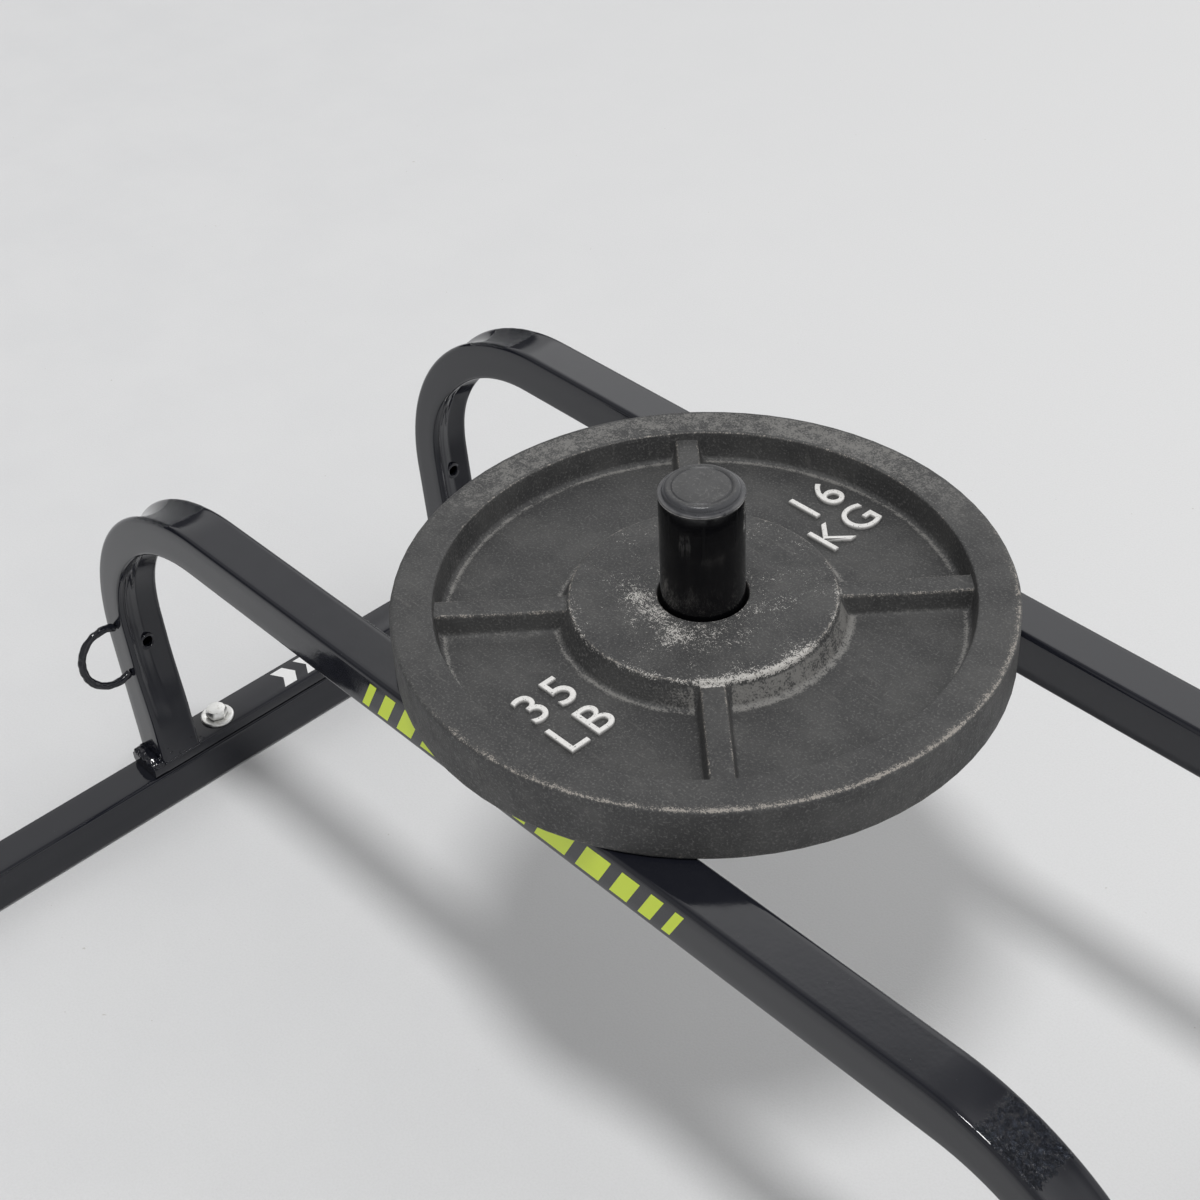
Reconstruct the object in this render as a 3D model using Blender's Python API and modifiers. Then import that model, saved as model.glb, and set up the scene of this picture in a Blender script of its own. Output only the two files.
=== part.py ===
"""Two-ski weight sled: raised tube hoops, a loading horn between them and one cast iron plate.

Metres, +Z up, floor at z = 0, horn on the Z axis. The sled is pulled towards -Y, so its
right side is at -X and its left side at +X.
"""
import math

import bmesh
import bpy
from mathutils import Matrix, Vector

# Fits
SEAT_GAP = 0.0003
BOLT_CLEARANCE = 0.0005
PLUG_CLEARANCE = 0.0004

# Frame: where the rails, legs and skis stand
RAIL_TOP = 0.308
HOOP_Y = 0.142
FOOT_X = 0.419
LEG_LEAN = math.radians(4.0)

# Square tube of the hoops and skis
TUBE_SIZE = 0.03175
TUBE_WALL = 0.0020
TUBE_CORNER = 0.0032
CORNER_STEPS = 3

# Pressed bends: the outer wall runs wide and the inner wall is pushed in
BEND_OUTER_RADIUS = 0.152
BEND_INNER_RADIUS = 0.109
BEND_STEPS = 11
INNER_PRESS = 0.0038
INNER_CREASE = 0.0036
CREASE_SHOULDER = 0.55
CREASE_SHARE = 0.45
OUTER_DIP = 0.0010
CREASE_RUN = 0.085
CREASE_STEPS = 3

# Threaded hole in the inner face of each leg
LEG_HOLE_RADIUS = 0.0040
LEG_HOLE_Z = 0.1430

# Skis: straight sole with both ends turned up
SKI_STRAIGHT_LENGTH = 0.640
SKI_TIP_RADIUS = 0.090
SKI_TIP_ANGLE = math.radians(26.0)
SKI_TIP_LENGTH = 0.034
SKI_TIP_STEPS = 4

# End plugs of the skis
PLUG_FLANGE = 0.0030
PLUG_DEPTH = 0.0120
PLUG_CROWN = 0.0012

# Base bars that carry the legs, bolted down on the skis
BAR_WIDTH = 0.03175
BAR_THICKNESS = 0.0095
BAR_OVERHANG = 0.0085
BAR_EDGE = 0.0008

# Bolts, washers and the nuts welded inside the skis
BOLT_INSET = 0.042
BOLT_RADIUS = 0.0048
BOLT_HEAD_RADIUS = 0.00825
BOLT_HEAD_HEIGHT = 0.0062
BOLT_HEAD_CHAMFER = 0.0007
BOLT_END = 0.0022
WASHER_RADIUS = 0.0125
WASHER_THICKNESS = 0.0020
NUT_RADIUS = 0.00825
NUT_HEIGHT = 0.0080

# Cross-member between the rails, and the horn on it
CROSS_WIDTH = 0.0508
CROSS_HEIGHT = 0.0254
HORN_RADIUS = 0.02415
HORN_WALL = 0.0030
HORN_HEIGHT = 0.1014
ROUND_STEPS = 32

# Horn cap
CAP_LIP = 0.0002
CAP_FLANGE = 0.0014
CAP_DEPTH = 0.0160
CAP_WALL = 0.0024
CAP_DISC_RADIUS = 0.0212
CAP_DISC_HEIGHT = 0.0040
CAP_DISC_ROLL = 0.0028
CAP_DISC_DISH = 0.8
CAP_DISC_SINK = 0.0004

# Tow rings, welded on the front face of each front leg
TOW_ROD_RADIUS = 0.0030
TOW_RING_RADIUS = 0.0219
TOW_RING_REACH = 0.0105
TOW_RING_Z = 0.1398
TOW_RING_TILT = math.radians(10.0)
TOW_RING_STEPS = 20

# Cast iron plate
PLATE_RADIUS = 0.178
PLATE_THICKNESS = 0.0346
PLATE_BORE_RADIUS = 0.0262
PLATE_RIM_WIDTH = 0.0242
PLATE_RIM_DRAFT = 0.0024
PLATE_WEB_TOP = 0.0161
PLATE_WEB_UNDERCUT = 0.0026
PLATE_HUB_RADIUS = 0.0772
PLATE_HUB_HEIGHT = 0.0317
PLATE_HUB_DRAFT = 0.0046
PLATE_EDGE = 0.0024
PLATE_FILLET = 0.0042
PLATE_STEPS = 56
RIB_COUNT = 4
RIB_HEIGHT = 0.0132
RIB_TOP_WIDTH = 0.0130
RIB_DRAFT = 0.0026
RIB_ROOT = 0.0060
RIB_TURN = math.radians(3.4)

# Levels and places that follow from the sizes above
HALF_TUBE = TUBE_SIZE / 2
BAR_TOP = TUBE_SIZE + SEAT_GAP + BAR_THICKNESS
FOOT_Z = BAR_TOP + SEAT_GAP
RAIL_CENTRE = RAIL_TOP - HALF_TUBE
BAR_HALF_LENGTH = HOOP_Y + HALF_TUBE + BAR_OVERHANG
BOLT_Y = HOOP_Y - BOLT_INSET
NUT_TOP = TUBE_SIZE - TUBE_WALL - SEAT_GAP
HORN_BASE = RAIL_TOP + SEAT_GAP
HORN_TOP = RAIL_TOP + HORN_HEIGHT
TURN = math.pi / 2 + LEG_LEAN
BEND_RADIUS = (BEND_OUTER_RADIUS + BEND_INNER_RADIUS) / 2
BEND_LENGTH = BEND_RADIUS * TURN
CORNER_X = FOOT_X + (RAIL_CENTRE - FOOT_Z) * math.tan(LEG_LEAN)
RAIL_NORMAL = Vector((0.0, 1.0))
LEG_NORMAL = Vector((math.sin(TURN), math.cos(TURN)))
LEG_DOWN = Vector((math.cos(TURN), -math.sin(TURN)))
SIDES = {"right": -1, "left": 1}
SLED_NAME = "weight_sled"


def new_collection(name):
    collection = bpy.data.collections.get(name) or bpy.data.collections.new(name)
    if name not in bpy.context.scene.collection.children:
        bpy.context.scene.collection.children.link(collection)
    return collection


def new_material(name, colour, roughness, metallic=0.0):
    material = bpy.data.materials.new(name)
    material.use_nodes = True
    shader = material.node_tree.nodes["Principled BSDF"]
    shader.inputs["Base Color"].default_value = (*colour, 1.0)
    shader.inputs["Roughness"].default_value = roughness
    shader.inputs["Metallic"].default_value = metallic
    material.diffuse_color = (*colour, 1.0)
    return material


def move_to(obj, collection):
    for owner in list(obj.users_collection):
        owner.objects.unlink(obj)
    collection.objects.link(obj)
    return obj


def new_object(name, mesh, material=None):
    obj = bpy.data.objects.new(name, mesh)
    PARTS.objects.link(obj)
    if material:
        mesh.materials.append(material)
    return obj


def as_cutter(obj):
    move_to(obj, CUTTERS)
    obj.hide_render = True
    obj.display_type = "WIRE"
    return obj


def boolean(obj, tool, operation):
    modifier = obj.modifiers.new(tool.name, "BOOLEAN")
    modifier.operation = operation
    modifier.solver = "EXACT"
    modifier.object = tool
    as_cutter(tool)
    return modifier


def frozen(obj):
    """Replace an object by a plain mesh of its evaluated shape."""
    bpy.context.view_layer.update()
    evaluated = obj.evaluated_get(bpy.context.evaluated_depsgraph_get())
    mesh = bpy.data.meshes.new_from_object(evaluated)
    plain = bpy.data.objects.new(obj.name, mesh)
    plain.matrix_world = obj.matrix_world.copy()
    name = obj.name
    bpy.data.objects.remove(obj)
    plain.name = name
    PARTS.objects.link(plain)
    return plain


def smooth_round(obj, degrees=35.0):
    obj.data.shade_smooth()
    obj.data.set_sharp_from_angle(angle=math.radians(degrees))


def box(name, size, centre, material=None, edge=0.0):
    bpy.ops.mesh.primitive_cube_add(size=1.0)
    obj = bpy.context.object
    obj.name = name
    obj.data.transform(Matrix.Diagonal((*size, 1.0)))
    obj.location = centre
    move_to(obj, PARTS)
    if edge:
        bevel = obj.modifiers.new("edges", "BEVEL")
        bevel.width = edge
        bevel.segments = 1
    if material:
        obj.data.materials.append(material)
    return obj


def rod(name, radius, start, end, vertices=24):
    """Plain cylinder between two points."""
    axis = Vector(end) - Vector(start)
    bpy.ops.mesh.primitive_cylinder_add(vertices=vertices, radius=radius, depth=axis.length)
    obj = bpy.context.object
    obj.name = name
    turn = axis.to_track_quat("Z", "Y").to_matrix().to_4x4()
    obj.data.transform(Matrix.Translation((Vector(start) + Vector(end)) / 2) @ turn)
    move_to(obj, PARTS)
    return obj


def turned(name, outline, material, closed, steps=ROUND_STEPS):
    """Turn an outline of (radius, height) pairs round the Z axis."""
    mesh = bpy.data.meshes.new(name)
    edges = [(i, i + 1) for i in range(len(outline) - 1)]
    if closed:
        edges.append((len(outline) - 1, 0))
    mesh.from_pydata([(radius, 0.0, height) for radius, height in outline], edges, [])
    obj = new_object(name, mesh, material)
    screw = obj.modifiers.new("turn", "SCREW")
    screw.axis = "Z"
    screw.steps = steps
    screw.render_steps = steps
    screw.use_merge_vertices = True
    screw.merge_threshold = 0.00005
    screw.use_smooth_shade = True
    return obj


def arc(centre, radius, start, end, steps):
    """Points of an arc in (radius, height), angles in degrees from the outward direction."""
    points = []
    for i in range(steps + 1):
        angle = math.radians(start + (end - start) * i / steps)
        points.append((centre[0] + radius * math.cos(angle), centre[1] + radius * math.sin(angle)))
    return points


def ease(low, high, value):
    """0 below low, 1 above high and a smooth rise between."""
    share = min(max((value - low) / (high - low), 0.0), 1.0)
    return share * share * (3 - 2 * share)


def tube_outline(outward, inward, half_width, corner, crease=0.0, dip=0.0):
    """Rounded rectangle as (outward, sideways) pairs, with a creased inner wall and a dipped outer one."""
    points = [(outward - dip, 0.0)]
    for quarter in range(4):
        facing_out = quarter in (0, 3)
        centre_out = outward - corner if facing_out else corner - inward
        centre_side = (half_width - corner) * (1 if quarter < 2 else -1)
        for i in range(CORNER_STEPS + 1):
            angle = math.pi / 2 * (quarter + i / CORNER_STEPS)
            points.append((centre_out + corner * math.cos(angle), centre_side + corner * math.sin(angle)))
        if quarter == 1:
            shoulder = (half_width - corner) * CREASE_SHARE
            raised = crease * CREASE_SHOULDER - inward
            points += [(raised, shoulder), (crease - inward, 0.0), (raised, -shoulder)]
    return points


def square_station(centre, outward_axis, side_axis, walls=(HALF_TUBE, HALF_TUBE), press=(0.0, 0.0)):
    """Outer and inner outline of the square tube at one place on its path.

    walls are the ways out to the outer and the inner wall, press the crease and the dip.
    """
    skins = []
    for wall in (0.0, TUBE_WALL):
        outline = tube_outline(walls[0] - wall, walls[1] - wall, HALF_TUBE - wall, TUBE_CORNER - wall, *press)
        skins.append([centre + outward_axis * a + side_axis * b for a, b in outline])
    return skins


def hollow_loft(name, stations, material):
    """Skin a row of outer and inner outlines into one open tube."""
    graph = bmesh.new()
    rings = [[[graph.verts.new(p) for p in skin] for skin in skins] for skins in stations]
    count = len(rings[0][0])
    for here, there in zip(rings, rings[1:]):
        for skin in (0, 1):
            for i in range(count):
                j = (i + 1) % count
                graph.faces.new((here[skin][i], here[skin][j], there[skin][j], there[skin][i]))
    for end in (rings[0], rings[-1]):
        for i in range(count):
            j = (i + 1) % count
            graph.faces.new((end[0][i], end[0][j], end[1][j], end[1][i]))
    bmesh.ops.recalc_face_normals(graph, faces=graph.faces)
    mesh = bpy.data.meshes.new(name)
    graph.to_mesh(mesh)
    graph.free()
    return new_object(name, mesh, material)


def solid_loft(name, outlines, material):
    """Skin a row of like-numbered outlines into one closed solid."""
    graph = bmesh.new()
    rings = [[graph.verts.new(p) for p in outline] for outline in outlines]
    count = len(rings[0])
    for here, there in zip(rings, rings[1:]):
        for i in range(count):
            j = (i + 1) % count
            graph.faces.new((here[i], here[j], there[j], there[i]))
    graph.faces.new(rings[0])
    graph.faces.new(rings[-1])
    bmesh.ops.recalc_face_normals(graph, faces=graph.faces)
    mesh = bpy.data.meshes.new(name)
    graph.to_mesh(mesh)
    graph.free()
    return new_object(name, mesh, material)


def wall_reach(point, normal, offset, radius):
    """Distance from a point of the hoop's centre line, along its normal, to one wall.

    The wall runs level along the rail, round its own bend and down the leg. Points are
    (x, z) of the hoop's left half; offset is the wall's place across a straight tube.
    """
    bend = Vector((CORNER_X + (offset - radius) * math.tan(TURN / 2), RAIL_CENTRE + offset - radius))
    gap = point - bend
    for straight, way_out in ((RAIL_NORMAL, Vector((-1.0, 0.0))), (LEG_NORMAL, LEG_DOWN)):
        slope = normal.dot(straight)
        if slope > math.cos(TURN / 2):
            reach = (radius - gap.dot(straight)) / slope
            if (gap + normal * reach).dot(way_out) >= 0.0:
                return reach
    along = gap.dot(normal)
    return math.sqrt(along * along - gap.dot(gap) + radius * radius) - along


def bend_station(y, point, normal, travel):
    """Tube outline in and near a bend; travel is the way along the centre line from its start."""
    outward = wall_reach(point, normal, HALF_TUBE, BEND_OUTER_RADIUS)
    inward = -wall_reach(point, normal, -HALF_TUBE, BEND_INNER_RADIUS)
    fade = 1.0 - ease(BEND_LENGTH + CREASE_RUN * 0.2, BEND_LENGTH + CREASE_RUN, travel)
    press = INNER_PRESS * ease(BEND_LENGTH * 0.45, BEND_LENGTH * 0.85, travel) * fade
    crease = INNER_CREASE * ease(0.0, BEND_LENGTH * 0.5, travel) * fade
    dip_end = ease(BEND_LENGTH * 0.6, BEND_LENGTH, travel)
    dip = OUTER_DIP * ease(0.0, BEND_LENGTH * 0.3, travel) * (1.0 - dip_end)
    centre = Vector((point.x, y, point.y))
    outward_axis = Vector((normal.x, 0.0, normal.y))
    walls = (outward, inward - press)
    return square_station(centre, outward_axis, Vector((0, 1, 0)), walls, (crease, dip))


def hoop_half(y):
    """Stations of the hoop's left half, from the rail to the foot."""
    bend = Vector((CORNER_X - BEND_RADIUS * math.tan(TURN / 2), RAIL_CENTRE - BEND_RADIUS))
    run_in = (BEND_OUTER_RADIUS - BEND_INNER_RADIUS) / 2 * math.tan(TURN / 2)
    stations = [bend_station(y, Vector((bend.x - run_in, RAIL_CENTRE)), RAIL_NORMAL, 0.0)]
    for i in range(BEND_STEPS + 1):
        angle = TURN * i / BEND_STEPS
        normal = Vector((math.sin(angle), math.cos(angle)))
        stations.append(bend_station(y, bend + normal * BEND_RADIUS, normal, BEND_RADIUS * angle))
    leg_start = bend + LEG_NORMAL * BEND_RADIUS
    for i in range(1, CREASE_STEPS + 1):
        run = CREASE_RUN * i / CREASE_STEPS
        stations.append(bend_station(y, leg_start + LEG_DOWN * run, LEG_NORMAL, BEND_LENGTH + run))
    flat_cut = Vector((1.0 / math.cos(LEG_LEAN), 0.0, 0.0))
    stations.append(square_station(Vector((FOOT_X, y, FOOT_Z)), flat_cut, Vector((0, 1, 0))))
    return stations


def mirrored(stations, flip):
    return [[[p * flip for p in skin] for skin in skins] for skins in stations]


def leg_x(z):
    """Distance of a leg's centre line from the sled's middle at one height."""
    return FOOT_X + (z - FOOT_Z) * math.tan(LEG_LEAN)


def make_hoop(name, y, material):
    half = hoop_half(y)
    hoop = hollow_loft(name, mirrored(half, Vector((-1, 1, 1)))[::-1] + half, material)
    for side, sign in SIDES.items():
        start = Vector((sign * leg_x(LEG_HOLE_Z), y, LEG_HOLE_Z))
        inward = Vector((-sign * math.cos(LEG_LEAN), 0.0, math.sin(LEG_LEAN)))
        drill = rod(f"{name}_{side}_drill", LEG_HOLE_RADIUS, start, start + inward * TUBE_SIZE, 16)
        boolean(hoop, drill, "DIFFERENCE")
    smooth_round(hoop)
    return hoop


def ski_tip_frame(end):
    """Middle of a ski's end face, the way the tube leaves it and the way to its sole."""
    leaving = Vector((0.0, end * math.cos(SKI_TIP_ANGLE), math.sin(SKI_TIP_ANGLE)))
    bend = Vector((0.0, end * SKI_STRAIGHT_LENGTH / 2, HALF_TUBE + SKI_TIP_RADIUS))
    sole_side = Vector((0.0, end * math.sin(SKI_TIP_ANGLE), -math.cos(SKI_TIP_ANGLE)))
    return bend + sole_side * SKI_TIP_RADIUS + leaving * SKI_TIP_LENGTH, leaving, sole_side


def make_ski(name, x, material):
    side_axis = Vector((1, 0, 0))
    half = []
    bend = Vector((x, SKI_STRAIGHT_LENGTH / 2, HALF_TUBE + SKI_TIP_RADIUS))
    for i in range(SKI_TIP_STEPS + 1):
        angle = SKI_TIP_ANGLE * i / SKI_TIP_STEPS
        sole_side = Vector((0.0, math.sin(angle), -math.cos(angle)))
        half.append(square_station(bend + sole_side * SKI_TIP_RADIUS, sole_side, side_axis))
    tip, _, sole_side = ski_tip_frame(1)
    half.append(square_station(tip + side_axis * x, sole_side, side_axis))
    ski = hollow_loft(name, mirrored(half, Vector((1, -1, 1)))[::-1] + half, material)
    for end, y in (("front", -BOLT_Y), ("rear", BOLT_Y)):
        top = Vector((x, y, TUBE_SIZE * 1.5))
        drill = rod(f"{name}_{end}_drill", BOLT_RADIUS + BOLT_CLEARANCE, top, Vector((x, y, HALF_TUBE)), 20)
        boolean(ski, drill, "DIFFERENCE")
    smooth_round(ski)
    return ski


def make_ski_plug(name, x, end, material):
    """Push-in end plug: a tapered body, a flange over the tube's end and a low crown."""
    tip, leaving, sole_side = ski_tip_frame(end)
    bore = HALF_TUBE - TUBE_WALL - PLUG_CLEARANCE
    bore_corner = TUBE_CORNER - TUBE_WALL
    levels = [
        (-PLUG_DEPTH, bore - PLUG_CROWN / 2, bore_corner),
        (SEAT_GAP, bore, bore_corner),
        (SEAT_GAP, HALF_TUBE, TUBE_CORNER),
        (SEAT_GAP + PLUG_FLANGE - PLUG_CROWN, HALF_TUBE, TUBE_CORNER),
        (SEAT_GAP + PLUG_FLANGE, HALF_TUBE - PLUG_CROWN, TUBE_CORNER - PLUG_CROWN / 2),
    ]
    side_axis = Vector((1, 0, 0))
    outlines = []
    for level, half, corner in levels:
        centre = tip + side_axis * x + leaving * level
        outline = tube_outline(half, half, half, corner)
        outlines.append([centre + sole_side * a + side_axis * b for a, b in outline])
    plug = solid_loft(name, outlines, material)
    smooth_round(plug, 30.0)
    return plug


def make_base_bar(name, x, material):
    size = (BAR_WIDTH, BAR_HALF_LENGTH * 2, BAR_THICKNESS)
    bar = box(name, size, (x, 0.0, BAR_TOP - BAR_THICKNESS / 2), material, BAR_EDGE)
    for end, y in (("front", -BOLT_Y), ("rear", BOLT_Y)):
        low = Vector((x, y, BAR_TOP - BAR_THICKNESS * 1.5))
        high = Vector((x, y, BAR_TOP + BAR_THICKNESS / 2))
        boolean(bar, rod(f"{name}_{end}_drill", BOLT_RADIUS + BOLT_CLEARANCE, low, high, 20), "DIFFERENCE")
    return bar


def hex_prism(name, radius, bottom, top, chamfer):
    bpy.ops.mesh.primitive_cylinder_add(vertices=6, radius=radius, depth=top - bottom)
    prism = bpy.context.object
    prism.name = name
    prism.data.transform(Matrix.Translation((0, 0, (top + bottom) / 2)))
    move_to(prism, PARTS)
    bevel = prism.modifiers.new("chamfer", "BEVEL")
    bevel.limit_method = "ANGLE"
    bevel.angle_limit = math.radians(70)
    bevel.width = chamfer
    bevel.segments = 1
    return prism


def set_fasteners(kind, pattern, material):
    """Set one copy of a fastener, built round the Z axis, at each of the four bolt places."""
    single = frozen(pattern)
    mesh = single.data
    bpy.data.objects.remove(single)
    mesh.materials.clear()
    mesh.materials.append(material)
    mesh.shade_smooth()
    mesh.set_sharp_from_angle(angle=math.radians(30))
    for side, sign in SIDES.items():
        for end, y in (("front", -BOLT_Y), ("rear", BOLT_Y)):
            fastener = new_object(f"{side}_{end}_{kind}", mesh)
            fastener.location = (sign * FOOT_X, y, 0.0)


def make_bolts(material):
    seat = BAR_TOP + SEAT_GAP + WASHER_THICKNESS + SEAT_GAP
    head = hex_prism("bolt_head", BOLT_HEAD_RADIUS, seat, seat + BOLT_HEAD_HEIGHT, BOLT_HEAD_CHAMFER)
    foot = Vector((0, 0, NUT_TOP - NUT_HEIGHT - BOLT_END))
    inside_head = Vector((0, 0, seat + BOLT_HEAD_HEIGHT / 2))
    boolean(head, rod("bolt_shank", BOLT_RADIUS, foot, inside_head, 14), "UNION")
    set_fasteners("bolt", head, material)


def make_washers(material):
    bottom = BAR_TOP + SEAT_GAP
    top = bottom + WASHER_THICKNESS
    hole = BOLT_RADIUS + BOLT_CLEARANCE
    edge = WASHER_THICKNESS / 4
    outline = [(hole, bottom), (hole, top), (WASHER_RADIUS - edge, top),
               (WASHER_RADIUS, top - edge), (WASHER_RADIUS, bottom)]
    set_fasteners("washer", turned("washer_pattern", outline, None, True, 20), material)


def make_weld_nuts(material):
    nut = hex_prism("weld_nut", NUT_RADIUS, NUT_TOP - NUT_HEIGHT, NUT_TOP, BOLT_HEAD_CHAMFER)
    low = Vector((0, 0, NUT_TOP - NUT_HEIGHT * 1.5))
    high = Vector((0, 0, NUT_TOP + NUT_HEIGHT / 2))
    boolean(nut, rod("nut_bore", BOLT_RADIUS + SEAT_GAP, low, high, 14), "DIFFERENCE")
    set_fasteners("weld_nut", nut, material)


def make_crossmember(material):
    """Rectangular tube between the rails, its top level with theirs."""
    half_length = HOOP_Y - HALF_TUBE - SEAT_GAP
    centre = RAIL_TOP - CROSS_HEIGHT / 2
    stations = []
    for y in (-half_length, half_length):
        skins = []
        for wall in (0.0, TUBE_WALL):
            half_height = CROSS_HEIGHT / 2 - wall
            outline = tube_outline(half_height, half_height, CROSS_WIDTH / 2 - wall, TUBE_CORNER - wall)
            skins.append([Vector((b, y, centre + a)) for a, b in outline])
        stations.append(skins)
    member = hollow_loft("horn_crossmember", stations, material)
    smooth_round(member)
    return member


def make_horn(material):
    bore = HORN_RADIUS - HORN_WALL
    outline = [(bore, HORN_BASE), (bore, HORN_TOP), (HORN_RADIUS, HORN_TOP), (HORN_RADIUS, HORN_BASE)]
    return turned("horn_tube", outline, material, True)


def make_horn_cap(material):
    """Push-in cap: hollow plug, thin flange on the tube's end and a raised disc with a rolled edge."""
    plug = HORN_RADIUS - HORN_WALL - PLUG_CLEARANCE
    seat = HORN_TOP + SEAT_GAP
    flange = HORN_RADIUS + CAP_LIP
    flange_top = seat + CAP_FLANGE
    disc_top = flange_top + CAP_DISC_HEIGHT
    roll = (CAP_DISC_RADIUS - CAP_DISC_ROLL, disc_top - CAP_DISC_ROLL)
    outline = [(0.0, disc_top - CAP_DISC_SINK)]
    outline.append((roll[0] - CAP_DISC_ROLL * CAP_DISC_DISH, disc_top - CAP_DISC_SINK))
    outline += arc(roll, CAP_DISC_ROLL, 100, 0, 4)
    outline += [(CAP_DISC_RADIUS, flange_top), (HORN_RADIUS, flange_top), (flange, flange_top - CAP_LIP)]
    outline += [(flange, seat), (plug, seat), (plug, HORN_TOP - CAP_DEPTH)]
    outline += [(plug - CAP_WALL, HORN_TOP - CAP_DEPTH), (plug - CAP_WALL, seat - CAP_WALL)]
    outline.append((0.0, seat - CAP_WALL))
    return turned("horn_cap", outline, material, False)


def make_tow_ring(name, sign, face_y, material):
    """Bent rod whose ends stand on the leg's front face."""
    centre = Vector((sign * leg_x(TOW_RING_Z), face_y - TOW_RING_REACH, TOW_RING_Z))
    upright = Vector((sign * math.sin(TOW_RING_TILT), 0.0, math.cos(TOW_RING_TILT)))
    gap_angle = math.acos((TOW_RING_REACH + TOW_ROD_RADIUS) / TOW_RING_RADIUS)
    curve = bpy.data.curves.new(name, "CURVE")
    curve.dimensions = "3D"
    curve.bevel_depth = TOW_ROD_RADIUS
    curve.bevel_resolution = 2
    curve.use_fill_caps = True
    spline = curve.splines.new("POLY")
    spline.points.add(TOW_RING_STEPS)
    for i, point in enumerate(spline.points):
        angle = gap_angle + (2 * math.pi - 2 * gap_angle) * i / TOW_RING_STEPS
        place = centre + TOW_RING_RADIUS * (Vector((0, 1, 0)) * math.cos(angle) + upright * math.sin(angle))
        point.co = (*place, 1.0)
    ring = frozen(new_object(name, curve))
    graph = bmesh.new()
    graph.from_mesh(ring.data)
    bmesh.ops.remove_doubles(graph, verts=graph.verts, dist=0.00001)
    bmesh.ops.recalc_face_normals(graph, faces=graph.faces)
    graph.to_mesh(ring.data)
    graph.free()
    ring.data.materials.clear()
    ring.data.materials.append(material)
    reach = TOW_RING_RADIUS * 2
    slab_centre = Vector((centre.x, face_y - SEAT_GAP + reach / 2, centre.z))
    boolean(ring, box(f"{name}_trim", (reach * 2, reach, reach * 2), slab_centre), "DIFFERENCE")
    smooth_round(ring, 50.0)
    return ring


def plate_outline():
    """Half section of the plate: bore, hub, web and rim, with its heights above the seat."""
    hub_top = PLATE_HUB_HEIGHT
    rim_inner = PLATE_RADIUS - PLATE_RIM_WIDTH
    edge = PLATE_EDGE
    fillet = PLATE_FILLET
    hub_foot = PLATE_HUB_RADIUS + PLATE_HUB_DRAFT
    rim_foot = rim_inner - PLATE_RIM_DRAFT
    under = PLATE_WEB_UNDERCUT
    outline = [(PLATE_BORE_RADIUS, 0.0)]
    outline += [(PLATE_BORE_RADIUS, hub_top - edge / 2), (PLATE_BORE_RADIUS + edge / 2, hub_top)]
    outline += arc((PLATE_HUB_RADIUS - edge / 2, hub_top - edge / 2), edge / 2, 90, 15, 2)
    outline += arc((hub_foot + fillet, PLATE_WEB_TOP + fillet), fillet, 195, 270, 3)
    outline += arc((rim_foot - fillet, PLATE_WEB_TOP + fillet), fillet, 270, 350, 3)
    outline += arc((rim_inner + edge, PLATE_THICKNESS - edge), edge, 172, 90, 2)
    outline += arc((PLATE_RADIUS - edge, PLATE_THICKNESS - edge), edge, 90, 0, 3)
    outline += arc((PLATE_RADIUS - edge, edge), edge, 0, -90, 2)
    outline += [(rim_inner, 0.0), (rim_foot, under), (hub_foot + fillet, under), (hub_foot, 0.0)]
    return [(radius, height + RAIL_TOP + SEAT_GAP) for radius, height in outline]


def make_rib(index):
    """Drafted rib from inside the hub to inside the rim wall."""
    start = PLATE_HUB_RADIUS - RIB_ROOT
    end = PLATE_RADIUS - PLATE_RIM_WIDTH + RIB_ROOT
    bottom = PLATE_WEB_TOP - RIB_ROOT
    height = RIB_HEIGHT + RIB_ROOT
    rib = box(f"plate_rib_{index}", (end - start, RIB_TOP_WIDTH, height), (0, 0, 0))
    for vertex in rib.data.vertices:
        if vertex.co.z < 0:
            vertex.co.y += math.copysign(RIB_DRAFT, vertex.co.y)
    middle = Vector(((start + end) / 2, 0.0, RAIL_TOP + SEAT_GAP + bottom + height / 2))
    angle = RIB_TURN + 2 * math.pi * (index + 0.5) / RIB_COUNT
    rib.data.transform(Matrix.Rotation(angle, 4, "Z") @ Matrix.Translation(middle))
    return rib


def make_weight_plate(material):
    plate = turned("weight_plate", plate_outline(), material, True, PLATE_STEPS)
    for index in range(RIB_COUNT):
        boolean(plate, make_rib(index), "UNION")
    return plate


def build_sled():
    frame_paint = new_material("frame_black_gloss", (0.012, 0.013, 0.016), 0.18)
    horn_paint = new_material("horn_black_gloss", (0.008, 0.008, 0.009), 0.14)
    plug_plastic = new_material("plug_black_plastic", (0.025, 0.026, 0.028), 0.50)
    zinc = new_material("zinc_plate", (0.66, 0.66, 0.64), 0.30, 1.0)
    cast_iron = new_material("plate_cast_iron", (0.055, 0.056, 0.058), 0.62)

    make_hoop("front_hoop", -HOOP_Y, frame_paint)
    make_hoop("rear_hoop", HOOP_Y, frame_paint)
    for side, sign in SIDES.items():
        make_ski(f"{side}_ski", sign * FOOT_X, frame_paint)
        make_base_bar(f"{side}_base_bar", sign * FOOT_X, frame_paint)
        make_tow_ring(f"{side}_tow_ring", sign, -HOOP_Y - HALF_TUBE, frame_paint)
        make_ski_plug(f"{side}_ski_front_plug", sign * FOOT_X, -1, plug_plastic)
        make_ski_plug(f"{side}_ski_rear_plug", sign * FOOT_X, 1, plug_plastic)
    make_bolts(zinc)
    make_washers(zinc)
    make_weld_nuts(zinc)
    make_crossmember(frame_paint)
    make_horn(horn_paint)
    make_horn_cap(plug_plastic)
    make_weight_plate(cast_iron)


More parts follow.
